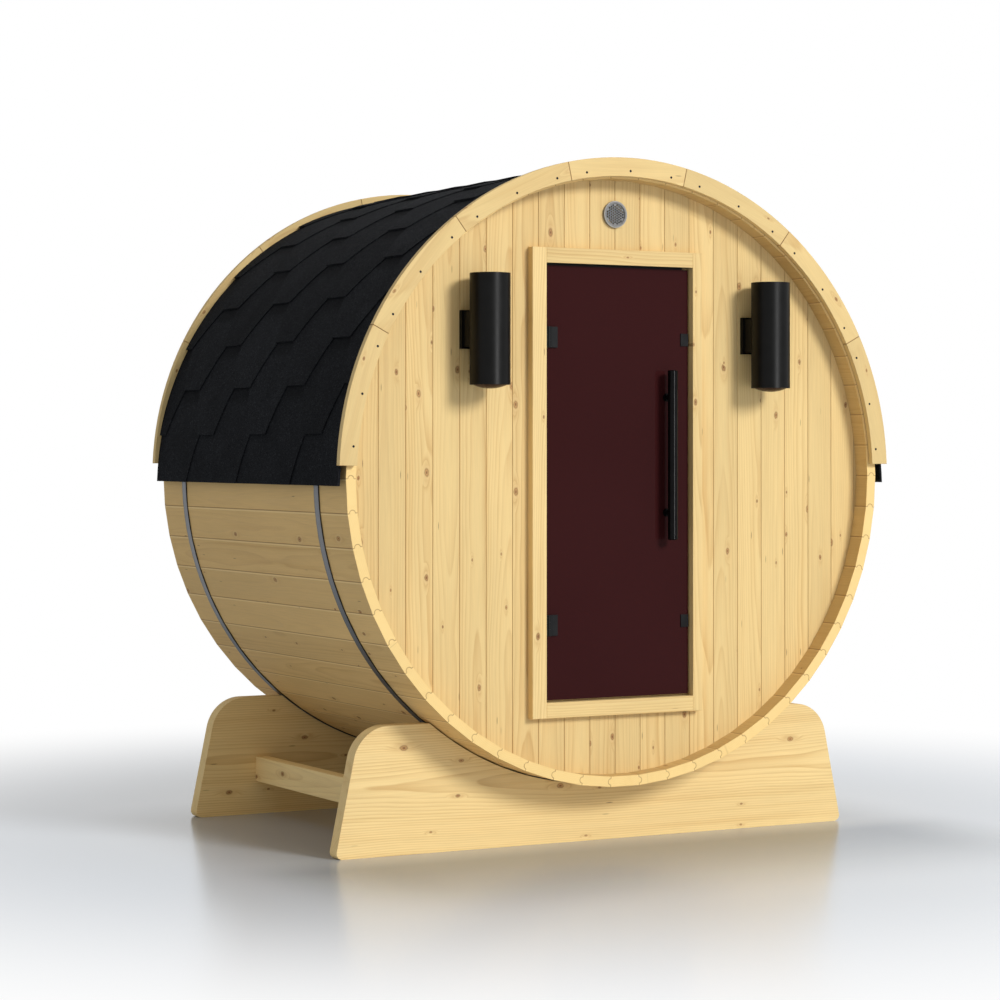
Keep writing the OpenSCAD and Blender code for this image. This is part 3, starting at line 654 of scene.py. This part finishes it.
def make_shingle():
    """Bitumen with dark mineral granules; each tab has its own tone and is darker below the next lap."""
    material, g, shader = new_material("shingle_granules")
    here = g.here()
    tab = g.node("ShaderNodeAttribute", attribute_name="tab").outputs["Vector"]
    aside, up_tab, chance = g.separate(tab)
    grit = g.noise(here, GRIT_WAVES, detail=1.0)
    specks = g.node("ShaderNodeTexVoronoi", {"Vector": here, "Scale": SPECK_CELLS}).outputs["Color"]
    speck = g.separate(specks)[0]
    patch = g.noise(here, PATCH_WAVES, detail=3.0)
    tone = g.mix(g.smooth(grit, *GRIT_RANGE), SHINGLE_DARK, SHINGLE_LIGHT)
    tone = g.mix(g.smooth(speck, *SPECK_RANGE, 0.0, SPECK_SHARE), tone, SPECK_GREY)
    shade = g.times(g.smooth(patch, *USUAL, *PATCH_TONES), g.smooth(chance, 0.0, 1.0, *TAB_TONES))
    up_lap = g.smooth(up_tab, LAP_ARC - LAP_SHADE_ARC[0], LAP_ARC - LAP_SHADE_ARC[1])
    edges = [TAB_EDGE_W * width for width in LAP_SHADE_WIDTHS]
    under_lap = g.times(up_lap, g.smooth(g.math("ABSOLUTE", aside), *edges), LAP_SHADE)
    shade = g.times(shade, g.math("SUBTRACT", 1.0, under_lap))
    g.feed(shader.inputs["Base Color"], g.dim(tone, shade))
    g.feed(shader.inputs["Roughness"], g.smooth(grit, *USUAL, *SHINGLE_ROUGHNESS))
    g.feed(shader.inputs["Normal"], g.bump(g.math("ADD", grit, speck), *SHINGLE_BUMP))
    shader.inputs["Specular IOR Level"].default_value = SHINGLE_SPECULAR
    return material


# Coated metal, steel and glass

COATING_SKIN_WAVES = 900.0
COATING_CLOUD_WAVES = 24.0
COATING_BUMP = (0.12, 0.0002)
# Dark used for painted shade on the bands and in the vent, and for the vent's darker rim
STEEL_SHADE = colour(0.014, 0.012, 0.010)
STEEL_CLOUD_WAVES = 7.0
STEEL_CLOUDS = (0.2, 0.8)
STEEL_CLOUD_SHARES = (0.6, 1.0)
STEEL_ROUGHNESS = (0.30, 0.48)
STEEL_BUMP = (0.15, 0.0002)
BAND_BRUSH = (60.0, 900.0, 60.0)
# Width of the painted shade along the bands' edges
BAND_SHADE_W = 0.003
VENT_BRUSH = 300.0
VENT_PLATE_SETBACK = 0.003
VENT_SLEEVE_GAP = 0.001
VENT_MESH_R = 0.0285
VENT_LIP_R = 0.0370
VENT_FADE = 0.0008
# Shares of the vent's dark: painted shade on the plate and at its edge by the lip, darker tone on the rim
VENT_PLATE_SHADE = 0.42
VENT_LIP_SHADE = 0.6
VENT_RIM_SHADE = 0.3
GLASS_DRIFT_WAVES = 2.2
GLASS_FILM_WAVES = 60.0
GLASS_SPECULAR = 0.03
GLASS_IOR = 1.45


def make_coating(name, dark, light, roughness_low, roughness_high, specular):
    """Satin powder coating: a fine orange-peel skin with slight changes of tone and gloss."""
    material, g, shader = new_material(name)
    here = g.here()
    skin = g.noise(here, COATING_SKIN_WAVES)
    cloud = g.noise(here, COATING_CLOUD_WAVES, detail=3.0)
    g.feed(shader.inputs["Base Color"], g.mix(g.smooth(cloud, *USUAL), dark, light))
    g.feed(shader.inputs["Roughness"], g.smooth(cloud, *USUAL, roughness_low, roughness_high))
    g.feed(shader.inputs["Normal"], g.bump(skin, *COATING_BUMP))
    shader.inputs["Specular IOR Level"].default_value = specular
    return material


def make_steel(name, dark, light, brush, metallic, in_shade):
    """Brushed steel: brush gives the scratches' waves per metre, in_shade the places painted dark, mostly as
    painted shade.
    """
    material, g, shader = new_material(name)
    here = g.here()
    scratches = g.noise(here, brush, detail=4.0)
    cloud = g.noise(here, STEEL_CLOUD_WAVES, detail=3.0)
    share = g.times(g.smooth(scratches, *USUAL), g.smooth(cloud, *STEEL_CLOUDS, *STEEL_CLOUD_SHARES))
    shade = in_shade(g, g.separate(here))
    g.feed(shader.inputs["Base Color"], g.mix(shade, g.mix(share, dark, light), STEEL_SHADE))
    g.feed(shader.inputs["Metallic"], g.smooth(shade, 0.0, 1.0, metallic, 0.0))
    g.feed(shader.inputs["Roughness"], g.smooth(scratches, *USUAL, *STEEL_ROUGHNESS))
    g.feed(shader.inputs["Normal"], g.bump(scratches, *STEEL_BUMP))
    return material


def band_edge_shade(g, axes):
    """Painted shade along the edges of the two bands, where the straps' shadow and gap fall on the staves.
    """
    middles = [sum(corner.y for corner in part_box(band)) / 2 for band in ("front_band", "rear_band")]
    ways = [g.apart(axes[1], middle) for middle in middles]
    half_w = (BAND_HIGH.y - BAND_LOW.y) / 2
    return g.smooth(g.math("MINIMUM", *ways), half_w - BAND_SHADE_W, half_w - BAND_SHADE_W / 2)


def vent_shade(g, axes):
    """Painted shade inside the vent's holes and sleeve and on the plate's edge with the rim's lip, lighter
    painted shade on the plate, and a darker tone on the rim.
    """
    plate = VENT_LOW.y + VENT_PLATE_SETBACK
    reach = g.vector("LENGTH", g.combine(axes[0], g.math("SUBTRACT", axes[2], VENT_Z), 0.0))
    in_sleeve = g.math("LESS_THAN", reach, VENT_BORE_R - VENT_SLEEVE_GAP)
    # painted shade in the holes and the sleeve behind the plate
    hole_shade = g.times(g.smooth(axes[1], plate, plate + VENT_FADE), in_sleeve)
    plate_edge_shade = g.smooth(reach, VENT_MESH_R, VENT_MESH_R + VENT_FADE, VENT_PLATE_SHADE, VENT_LIP_SHADE)
    lip = g.smooth(reach, VENT_LIP_R, VENT_LIP_R - VENT_FADE, VENT_RIM_SHADE, VENT_LIP_SHADE)
    return g.math("MAXIMUM", hole_shade, g.math("MINIMUM", plate_edge_shade, lip))


def make_glass(name, dark, light, transmission, roughness_low, roughness_high):
    """Tinted glass, with faint drifts in its tint and its polish."""
    material, g, shader = new_material(name)
    here = g.here()
    drift = g.noise(here, GLASS_DRIFT_WAVES)
    film = g.noise(here, GLASS_FILM_WAVES, detail=3.0)
    g.feed(shader.inputs["Base Color"], g.mix(g.smooth(drift, *USUAL), dark, light))
    g.feed(shader.inputs["Roughness"], g.smooth(film, *USUAL, roughness_low, roughness_high))
    shader.inputs["Transmission Weight"].default_value = transmission
    shader.inputs["Specular IOR Level"].default_value = GLASS_SPECULAR
    shader.inputs["IOR"].default_value = GLASS_IOR
    return material


# The materials

PINE_STAVES = make_pine("pine_staves", stave_grain)
PINE_FASCIA = make_pine("pine_fascia", fascia_grain)
PINE_WALL = make_pine(
    "pine_wall", row_of_boards(2, 0, 1, FRONT_WALL_LOW.y, WALL_JOINT_X, WALL_BOARD_W, FRONT_WALL_FIRST))
PINE_REAR_WALL = make_pine(
    "pine_rear_wall", row_of_boards(2, 0, 1, REAR_WALL_HIGH.y, WALL_JOINT_X, WALL_BOARD_W, REAR_WALL_FIRST))
PINE_FLOOR = make_pine(
    "pine_floor", row_of_boards(1, 0, 2, FLOOR_HIGH.z, FLOOR_LOW.x, FLOOR_PITCH, FLOOR_FIRST))

SHINGLE = make_shingle()
LAMP_BLACK = make_coating(
    "lamp_black", colour(0.0030, 0.0029, 0.0027), colour(0.0042, 0.0041, 0.0040), 0.33, 0.38, 0.11)
HANDLE_BLACK = make_coating(
    "handle_black", colour(0.0028, 0.0028, 0.0029), colour(0.0040, 0.0040, 0.0042), 0.08, 0.12, 0.07)
HINGE_BLACK = make_coating(
    "hinge_black", colour(0.0085, 0.0088, 0.0092), colour(0.0125, 0.0128, 0.0132), 0.38, 0.48, 0.08)
SCREW_BLACK = make_coating(
    "screw_black", colour(0.0070, 0.0085, 0.0130), colour(0.0150, 0.0175, 0.0250), 0.40, 0.55, 0.05)
# the bands, with painted shade along their edges
BAND_STEEL = make_steel(
    "band_steel", colour(0.075, 0.080, 0.088), colour(0.190, 0.198, 0.210), BAND_BRUSH, 0.75, band_edge_shade)
VENT_STEEL = make_steel(
    "vent_steel", colour(0.25, 0.247, 0.238), colour(0.44, 0.434, 0.418), VENT_BRUSH, 0.35, vent_shade)
DOOR_GLASS = make_glass(
    "door_glass", colour(0.0370, 0.0080, 0.0083), colour(0.0395, 0.0087, 0.0090), 0.04, 0.03, 0.05)
LAMP_GLASS = make_glass(
    "lamp_glass", colour(0.0250, 0.0080, 0.0080), colour(0.0380, 0.0120, 0.0115), 0.05, 0.14, 0.22)


def dress(material, *nodes, bevel=0.0):
    """Gives CAD nodes a material, and wooden ones their eased arrises."""
    for name in nodes:
        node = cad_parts[name]
        for slot in node.material_slots:
            slot.material = material
        if bevel:
            node.modifiers.new("weld", "WELD").merge_threshold = WELD_DISTANCE
            ease = node.modifiers.new("ease", "BEVEL")
            ease.width = bevel
            ease.segments = EASE_SEGMENTS
            ease.limit_method = "ANGLE"
            ease.angle_limit = EASE_ANGLE
            ease.harden_normals = False
            node.modifiers.new("even", "WEIGHTED_NORMAL").keep_sharp = True


STAVE_NODES = [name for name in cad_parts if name.startswith("staves_")]
dress(PINE_STAVES, *STAVE_NODES, bevel=STAVE_ARRIS)
for node, along, across, depth, arris, number, coarseness, paleness_and_light, contrast in SINGLE_BOARDS:
    grain = one_board(node, along, across, depth, number, coarseness, paleness_and_light, contrast)
    dress(make_pine("pine_" + node, grain), node, bevel=arris)
dress(PINE_FLOOR, "floor_boards", bevel=FLOOR_ARRIS)
dress(PINE_FASCIA, "front_fascia", "rear_fascia", bevel=FASCIA_ARRIS)
dress(BAND_STEEL, "front_band", "rear_band")
dress(DOOR_GLASS, "door_glass")
dress(HANDLE_BLACK, "door_handle")
dress(HINGE_BLACK, "upper_hinge_bracket", "lower_hinge_bracket")
dress(HINGE_BLACK, "upper_hinge_clamp", "lower_hinge_clamp", "door_strikes")
dress(VENT_STEEL, "vent_grille")
for side in ("left", "right"):
    dress(LAMP_BLACK, side + "_lamp_plate", side + "_lamp_body")
    dress(LAMP_GLASS, side + "_lamp_lenses")


def add_piece(name, shape, material, replaced=()):
    """Turns a bmesh into a piece of the cabin, in place of the named CAD nodes."""
    mesh = bpy.data.meshes.new(name)
    bmesh.ops.recalc_face_normals(shape, faces=shape.faces)
    shape.to_mesh(mesh)
    shape.free()
    mesh.materials.append(material)
    piece = bpy.data.objects.new(name, mesh)
    bpy.context.scene.collection.objects.link(piece)
    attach(piece, "cabin")
    if replaced:
        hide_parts(*replaced)


def add_prism(shape, low_ring, high_ring):
    """A closed solid between two rings of points that run the same way round."""
    lows = [shape.verts.new(point) for point in low_ring]
    highs = [shape.verts.new(point) for point in high_ring]
    count = len(lows)
    for index in range(count):
        after = (index + 1) % count
        shape.faces.new((lows[index], lows[after], highs[after], highs[index]))
    shape.faces.new(lows[::-1])
    shape.faces.new(highs)


# End walls


def joint_edge(x, inward, face, back):
    """One jointed long edge of a wall board in plan, from its face to its back."""
    into = 1 if back > face else -1
    lip = x + inward * WALL_JOINT_GAP / 2
    return [
        (lip + inward * WALL_CHAMFER, face),
        (lip, face + into * WALL_CHAMFER),
        (lip, face + into * WALL_JOINT_DEPTH),
        (x, face + into * WALL_JOINT_DEPTH),
        (x, back),
    ]


def plain_edge(x, face, back):
    return [(x, face), (x, back)]


def add_wall_board(shape, left, right, face, back, low, high):
    """A board in plan from its left edge to its right one, up between two heights given by x."""
    left_x, right_x = left[0][0], right[0][0]
    inner_xs = [left_x + (right_x - left_x) * step / WALL_COLUMNS for step in range(1, WALL_COLUMNS)]
    plan = left[::-1] + [(x, face) for x in inner_xs] + right + [(x, back) for x in inner_xs[::-1]]
    add_prism(shape, [(x, y, low(x)) for x, y in plan], [(x, y, high(x)) for x, y in plan])


def circle_top(radius, height):
    """The height of a circle's upper half, given x, about a centre on the middle line."""
    return lambda x: height + math.sqrt(max(radius ** 2 - x ** 2, 0.0))


def circle_bottom(radius, height):
    """The height of a circle's lower half, given x, about a centre on the middle line."""
    return lambda x: height - math.sqrt(max(radius ** 2 - x ** 2, 0.0))


def level(height):
    return lambda x: height


WALL_BOTTOM = circle_bottom(WALL_R, AXIS_Z)
WALL_TOP = circle_top(WALL_R, AXIS_Z)
DOORWAY_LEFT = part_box("hinge_jamb")[0].x - FRAME_CLEARANCE
DOORWAY_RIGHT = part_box("latch_jamb")[1].x + FRAME_CLEARANCE
DOORWAY_LOW = level(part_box("door_sill")[0].z - FRAME_CLEARANCE)
DOORWAY_HIGH = level(HEAD_HIGH.z + FRAME_CLEARANCE)


def whole_height(x):
    """The one stretch of board at any x in a wall without openings."""
    return [(WALL_BOTTOM, WALL_TOP)]


def round_openings(x):
    """The stretches of board at x in the front wall, round the doorway and the vent's bore."""
    if not DOORWAY_LEFT < x < DOORWAY_RIGHT:
        return whole_height(x)
    if abs(x) > VENT_BORE_R:
        return [(WALL_BOTTOM, DOORWAY_LOW), (DOORWAY_HIGH, WALL_TOP)]
    under_vent = (DOORWAY_HIGH, circle_bottom(VENT_BORE_R, VENT_Z))
    over_vent = (circle_top(VENT_BORE_R, VENT_Z), WALL_TOP)
    return [(WALL_BOTTOM, DOORWAY_LOW), under_vent, over_vent]


def make_wall(name, face, back, material, replaced, stretches, cut_lines=()):
    """An end wall of upright boards with a joint near the middle, each cut along the cut lines."""
    shape = bmesh.new()
    reach = math.ceil(WALL_R / WALL_BOARD_W)
    for number in range(-reach, reach):
        x0 = max(WALL_JOINT_X + number * WALL_BOARD_W, -WALL_R)
        x1 = min(WALL_JOINT_X + (number + 1) * WALL_BOARD_W, WALL_R)
        edges = sorted([x0, x1] + [x for x in cut_lines if x0 < x < x1])
        for left_x, right_x in zip(edges, edges[1:]):
            left = joint_edge(left_x, 1, face, back) if left_x == x0 else plain_edge(left_x, face, back)
            right = joint_edge(right_x, -1, face, back) if right_x == x1 else plain_edge(right_x, face, back)
            for low, high in stretches((left_x + right_x) / 2):
                add_wall_board(shape, left, right, face, back, low, high)
    add_piece(name, shape, material, replaced)


FRONT_WALL_NODES = (
    "front_wall_left", "front_wall_right", "front_wall_over_door", "front_wall_under_door")
FRONT_CUTS = (DOORWAY_LEFT, -VENT_BORE_R, VENT_BORE_R, DOORWAY_RIGHT)
make_wall(
    "front_wall_boards", FRONT_WALL_LOW.y, FRONT_WALL_HIGH.y, PINE_WALL, FRONT_WALL_NODES,
    round_openings, FRONT_CUTS)
make_wall(
    "rear_wall_boards", REAR_WALL_HIGH.y, REAR_WALL_LOW.y, PINE_REAR_WALL, ("rear_wall",), whole_height)


# Roof of hexagonal shingles


def roof_point(side, arc, y, height):
    """A point on the roof: side is -1 left or 1 right, arc is its way up from the barrel's middle."""
    angle = arc / ROOF_ARC_R
    flare = ROOF_FLARE * max(0.0, 1 - (arc - ROOF_EDGE_ARC) / FLARE_ARC) ** FLARE_POWER
    radius = ROOF_BASE_R + height + flare
    return (side * radius * math.cos(angle), y, AXIS_Z + radius * math.sin(angle))


def clamp_y(y):
    return min(max(y, FRONT_Y), REAR_Y)


def reaches_roof(middle, half_w):
    """Whether any of a width about a middle is between the roof's two ends."""
    return clamp_y(middle - half_w) < clamp_y(middle + half_w)


def lapped_height(layers, up):
    """The height of a sheet's outer face, a way up from its lower edge, which lies on other layers."""
    return layers * SHINGLE_RISE - SHINGLE_RISE * up / COURSE_EXPOSURE


def add_sheet(shape, layer, rows, tab_chance):
    """A bent sheet of even thickness; each row is two ends, each (place, outer point, inner point)."""
    outer, inner = [], []
    for row in rows:
        for points, index in ((outer, 1), (inner, 2)):
            made = []
            for end in row:
                vertex = shape.verts.new(end[index])
                vertex[layer] = (end[0][0], end[0][1], tab_chance)
                made.append(vertex)
            points.append(made)
    last = len(rows) - 1
    for here in range(last):
        after = here + 1
        shape.faces.new((outer[here][0], outer[here][1], outer[after][1], outer[after][0]))
        shape.faces.new((inner[here][0], inner[after][0], inner[after][1], inner[here][1]))
        shape.faces.new((outer[here][0], outer[after][0], inner[after][0], inner[here][0]))
        shape.faces.new((outer[here][1], inner[here][1], inner[after][1], outer[after][1]))
    shape.faces.new((outer[0][0], inner[0][0], inner[0][1], outer[0][1]))
    shape.faces.new((outer[last][0], outer[last][1], inner[last][1], inner[last][0]))


def tab_row(side, middle, half_w, arc, up_tab, height):
    """One row across a tab, cut off at the roof's two ends."""
    row = []
    for aside in (-half_w, half_w):
        y = clamp_y(middle + aside)
        outer = roof_point(side, arc, y, height)
        inner = roof_point(side, arc, y, height - SHINGLE_T)
        row.append(((y - middle, up_tab), outer, inner))
    return row


def add_tab(shape, layer, side, course, middle, chance):
    """One tab: its hexagon's lower half, then the full strip up under the next two courses."""
    start = ROOF_EDGE_ARC + course * COURSE_EXPOSURE
    top = min(start + LAP_ARC + SHINGLE_HEAD_LAP, RIDGE_ARC) - start
    lift = TAB_LIFT * chance.random()
    slant_rows, strip_rows = [], []
    for index in range(TAB_LEVELS + 1):
        share = index / TAB_LEVELS
        up_tab = min(share * COURSE_EXPOSURE, top)
        half_w = (TAB_EDGE_W + share * (TAB_PITCH - NOTCH_TOP_W - TAB_EDGE_W)) / 2
        height = lapped_height(TAB_LAYERS, up_tab) + lift * (1 - share)
        slant_rows.append(tab_row(side, middle, half_w, start + up_tab, up_tab, height))
        up_tab = COURSE_EXPOSURE + share * (top - COURSE_EXPOSURE)
        height = lapped_height(TAB_LAYERS, up_tab)
        strip_rows.append(tab_row(side, middle, TAB_PITCH / 2, start + up_tab, up_tab, height))
    tone = chance.random()
    if reaches_roof(middle, TAB_EDGE_W):
        add_sheet(shape, layer, slant_rows, tone)
    if top > COURSE_EXPOSURE and reaches_roof(middle, TAB_PITCH / 2):
        add_sheet(shape, layer, strip_rows, tone)


def add_starter(shape, layer, side):
    """The plain strip under the lowest course, which fills its notches."""
    rows = []
    for index in range(TAB_LEVELS + 1):
        up = index / TAB_LEVELS * (COURSE_EXPOSURE + SHINGLE_HEAD_LAP)
        height = lapped_height(STARTER_LAYERS, up)
        rows.append(tab_row(side, MIDDLE_Y, REAR_Y - FRONT_Y, ROOF_EDGE_ARC + up, up, height))
    add_sheet(shape, layer, rows, STARTER_TONE)


def make_roof_side(name, side, replaced, seed):
    """One slope of the roof: a starter strip and courses of tabs, every other one shifted."""
    chance = random.Random(seed)
    shape = bmesh.new()
    layer = shape.verts.layers.float_vector.new("tab")
    add_starter(shape, layer, side)
    for course in range(COURSE_COUNT):
        first = FRONT_Y + TAB_PHASES[course % 2] - TAB_PITCH
        for tab in range(math.ceil((REAR_Y - FRONT_Y) / TAB_PITCH) + 2):
            add_tab(shape, layer, side, course, first + tab * TAB_PITCH, chance)
    add_piece(name, shape, SHINGLE, (replaced,))


def make_ridge(name, replaced, seed):
    """Caps bent over the ridge, each lapped by the next one to the front."""
    chance = random.Random(seed)
    shape = bmesh.new()
    layer = shape.verts.layers.float_vector.new("tab")
    low = TAB_LAYERS * SHINGLE_RISE
    y = REAR_Y
    while y > FRONT_Y:
        ahead = max(y - RIDGE_EXPOSURE, FRONT_Y)
        rows = []
        for index in range(RIDGE_STEPS + 1):
            across = (2 * index / RIDGE_STEPS - 1) * RIDGE_HALF_W
            row = []
            for end_y, height in ((ahead, low + SHINGLE_RISE), (y, low)):
                outer = roof_point(1, RIDGE_ARC - across, end_y, height)
                inner = roof_point(1, RIDGE_ARC - across, end_y, height - SHINGLE_T)
                row.append(((across, 0.0), outer, inner))
            rows.append(row)
        add_sheet(shape, layer, rows, chance.random())
        y = ahead
    add_piece(name, shape, SHINGLE, (replaced,))


make_roof_side("roof_shingles_left", -1, "roof_left", seed=11)
make_roof_side("roof_shingles_right", 1, "roof_right", seed=12)
make_ridge("ridge_caps", "roof_ridge", seed=13)


# Screws of the fascias


def make_screws(name, face, outward):
    """Three countersunk heads in each fascia board, seen along y."""
    shape = bmesh.new()
    turns = [step / SCREW_SIDES * math.tau for step in range(SCREW_SIDES)]
    for board in range(FASCIA_BOARDS):
        for share in SCREW_SHARES:
            angle = FASCIA_START + (board + share) * FASCIA_STEP
            x = SCREW_R * math.cos(angle)
            z = AXIS_Z + SCREW_R * math.sin(angle)
            rings = []
            for radius, depth in SCREW_PROFILE:
                y = face - outward * depth
                points = [(x + radius * math.cos(turn), y, z + radius * math.sin(turn)) for turn in turns]
                rings.append([shape.verts.new(point) for point in points])
            shape.faces.new(rings[0])
            for inner, outer in zip(rings, rings[1:]):
                for step in range(SCREW_SIDES):
                    after = (step + 1) % SCREW_SIDES
                    shape.faces.new((inner[step], inner[after], outer[after], outer[step]))
    add_piece(name, shape, SCREW_BLACK)


make_screws("front_fascia_screws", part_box("front_fascia")[0].y, -1)
make_screws("rear_fascia_screws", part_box("rear_fascia")[1].y, 1)


# Studio

FLOOR_REACH = 40.0
FLOOR_PALE = (colour(0.71, 0.77, 0.845), colour(0.75, 0.81, 0.885))
FLOOR_CLOUD_WAVES = 0.7
# Painted shade on the floor about the object, and darker painted shade in front of it
FLOOR_SHADE = colour(0.44, 0.475, 0.52)
FLOOR_SHADE_HALF = (0.80, 0.46)
FLOOR_SHADE_W = 0.50
FLOOR_CONTACT_SHADE = colour(0.19, 0.23, 0.28)
CONTACT_START = 0.25
CONTACT_W = 1.15
CONTACT_SHARE = 0.9
FLOOR_ROUGHNESS = 0.20
FLOOR_SPECULAR = 0.20
FLOOR_FADE = (1.3, 3.4)
WHITE = colour(1.0, 1.0, 1.0)


def seen_directly(g):
    """1 for rays of the camera and of gloss and glass, 0 for light that falls on things."""
    path = g.node("ShaderNodeLightPath").outputs
    direct = g.math("MAXIMUM", path["Is Camera Ray"], path["Is Glossy Ray"])
    return g.math("MAXIMUM", direct, path["Is Transmission Ray"])


def floor_tone(g, here, seen):
    """A pale tone with painted shade about the object, darkest in front of it, where it is seen."""
    x, y = g.separate(here)[:2]
    aside, ahead = [
        g.math("MAXIMUM", g.math("SUBTRACT", g.math("ABSOLUTE", way), half), 0.0)
        for way, half in zip((x, y), FLOOR_SHADE_HALF)]
    # painted shade about the object, then darker painted shade in front of it
    near_shade = g.smooth(g.vector("LENGTH", g.combine(aside, ahead, 0.0)), FLOOR_SHADE_W, 0.0)
    front_shade = g.times(
        g.smooth(ahead, CONTACT_W, CONTACT_START, 0.0, CONTACT_SHARE),
        g.smooth(ahead, 0.0, CONTACT_START),
        g.math("LESS_THAN", y, 0.0),
        g.smooth(aside, FLOOR_SHADE_W, 0.0))
    pale = g.mix(g.noise(here, FLOOR_CLOUD_WAVES), *FLOOR_PALE)
    return g.overlay(pale, [(g.times(near_shade, seen), FLOOR_SHADE), (g.times(front_shade, seen), FLOOR_CONTACT_SHADE)])


def make_floor():
    """A pale floor that keeps the object's shadow, with painted shade near the object, and fades into the
    white backdrop.
    """
    shape = bmesh.new()
    bmesh.ops.create_grid(shape, x_segments=1, y_segments=1, size=FLOOR_REACH)
    mesh = bpy.data.meshes.new("studio_floor")
    shape.to_mesh(mesh)
    shape.free()
    floor = bpy.data.objects.new("studio_floor", mesh)
    bpy.context.scene.collection.objects.link(floor)
    material, g, shader = new_material("studio_floor")
    here = g.here()
    seen = seen_directly(g)
    g.feed(shader.inputs["Base Color"], floor_tone(g, here, seen))
    shader.inputs["Roughness"].default_value = FLOOR_ROUGHNESS
    shader.inputs["Specular IOR Level"].default_value = FLOOR_SPECULAR
    share = g.times(g.smooth(g.vector("LENGTH", here), *FLOOR_FADE), seen)
    glow = g.node("ShaderNodeEmission")
    mixed = g.node("ShaderNodeMixShader", {0: share, 1: shader.outputs["BSDF"], 2: glow.outputs[0]})
    output = next(node for node in material.node_tree.nodes if node.type == "OUTPUT_MATERIAL")
    g.feed(output.inputs["Surface"], mixed.outputs[0])
    mesh.materials.append(material)


def make_world():
    """White where it is seen directly, and a weaker even light on things."""
    world = bpy.data.worlds.new("studio")
    world.use_nodes = True
    world.node_tree.nodes.clear()
    g = Graph(world.node_tree)
    strength = g.smooth(seen_directly(g), 0.0, 1.0, FILL_STRENGTH, 1.0)
    sky = g.node("ShaderNodeBackground", {"Color": WHITE, "Strength": strength})
    output = g.node("ShaderNodeOutputWorld")
    g.feed(output.inputs["Surface"], sky.outputs[0])
    bpy.context.scene.world = world


def add_area_light(name, shape, size, power, turn, rise, distance, target):
    """A soft light that faces the target, turned from the front to the right and raised."""
    light = bpy.data.lights.new(name, "AREA")
    light.shape = shape
    light.size, light.size_y = size
    light.energy = power
    level_reach = math.cos(rise)
    towards = Vector((math.sin(turn) * level_reach, -math.cos(turn) * level_reach, math.sin(rise)))
    lamp = bpy.data.objects.new(name, light)
    lamp.location = target + towards * distance
    lamp.rotation_euler = towards.to_track_quat("Z", "Y").to_euler()
    bpy.context.scene.collection.objects.link(lamp)
    return lamp


def make_camera():
    """The camera at the photograph's viewing angle."""
    camera = bpy.data.cameras.new("photo_camera")
    camera.lens = CAMERA_LENS
    camera.shift_y = CAMERA_SHIFT_Y
    holder = bpy.data.objects.new("photo_camera", camera)
    holder.location = CAMERA_PLACE
    holder.rotation_euler = CAMERA_TURN
    bpy.context.scene.collection.objects.link(holder)
    bpy.context.scene.camera = holder


make_floor()
make_world()
add_area_light(
    "key_light", "DISK", (KEY_SIZE, KEY_SIZE), KEY_POWER, KEY_TURN, KEY_RISE, KEY_DISTANCE, LOOK_AT)
strip = add_area_light(
    "strip_light", "RECTANGLE", STRIP_SIZE, STRIP_POWER, STRIP_TURN, 0.0, STRIP_DISTANCE,
    Vector((0.0, 0.0, STRIP_HEIGHT)))
strip.visible_diffuse = False
make_camera()
bpy.context.scene.view_settings.view_transform = "Standard"
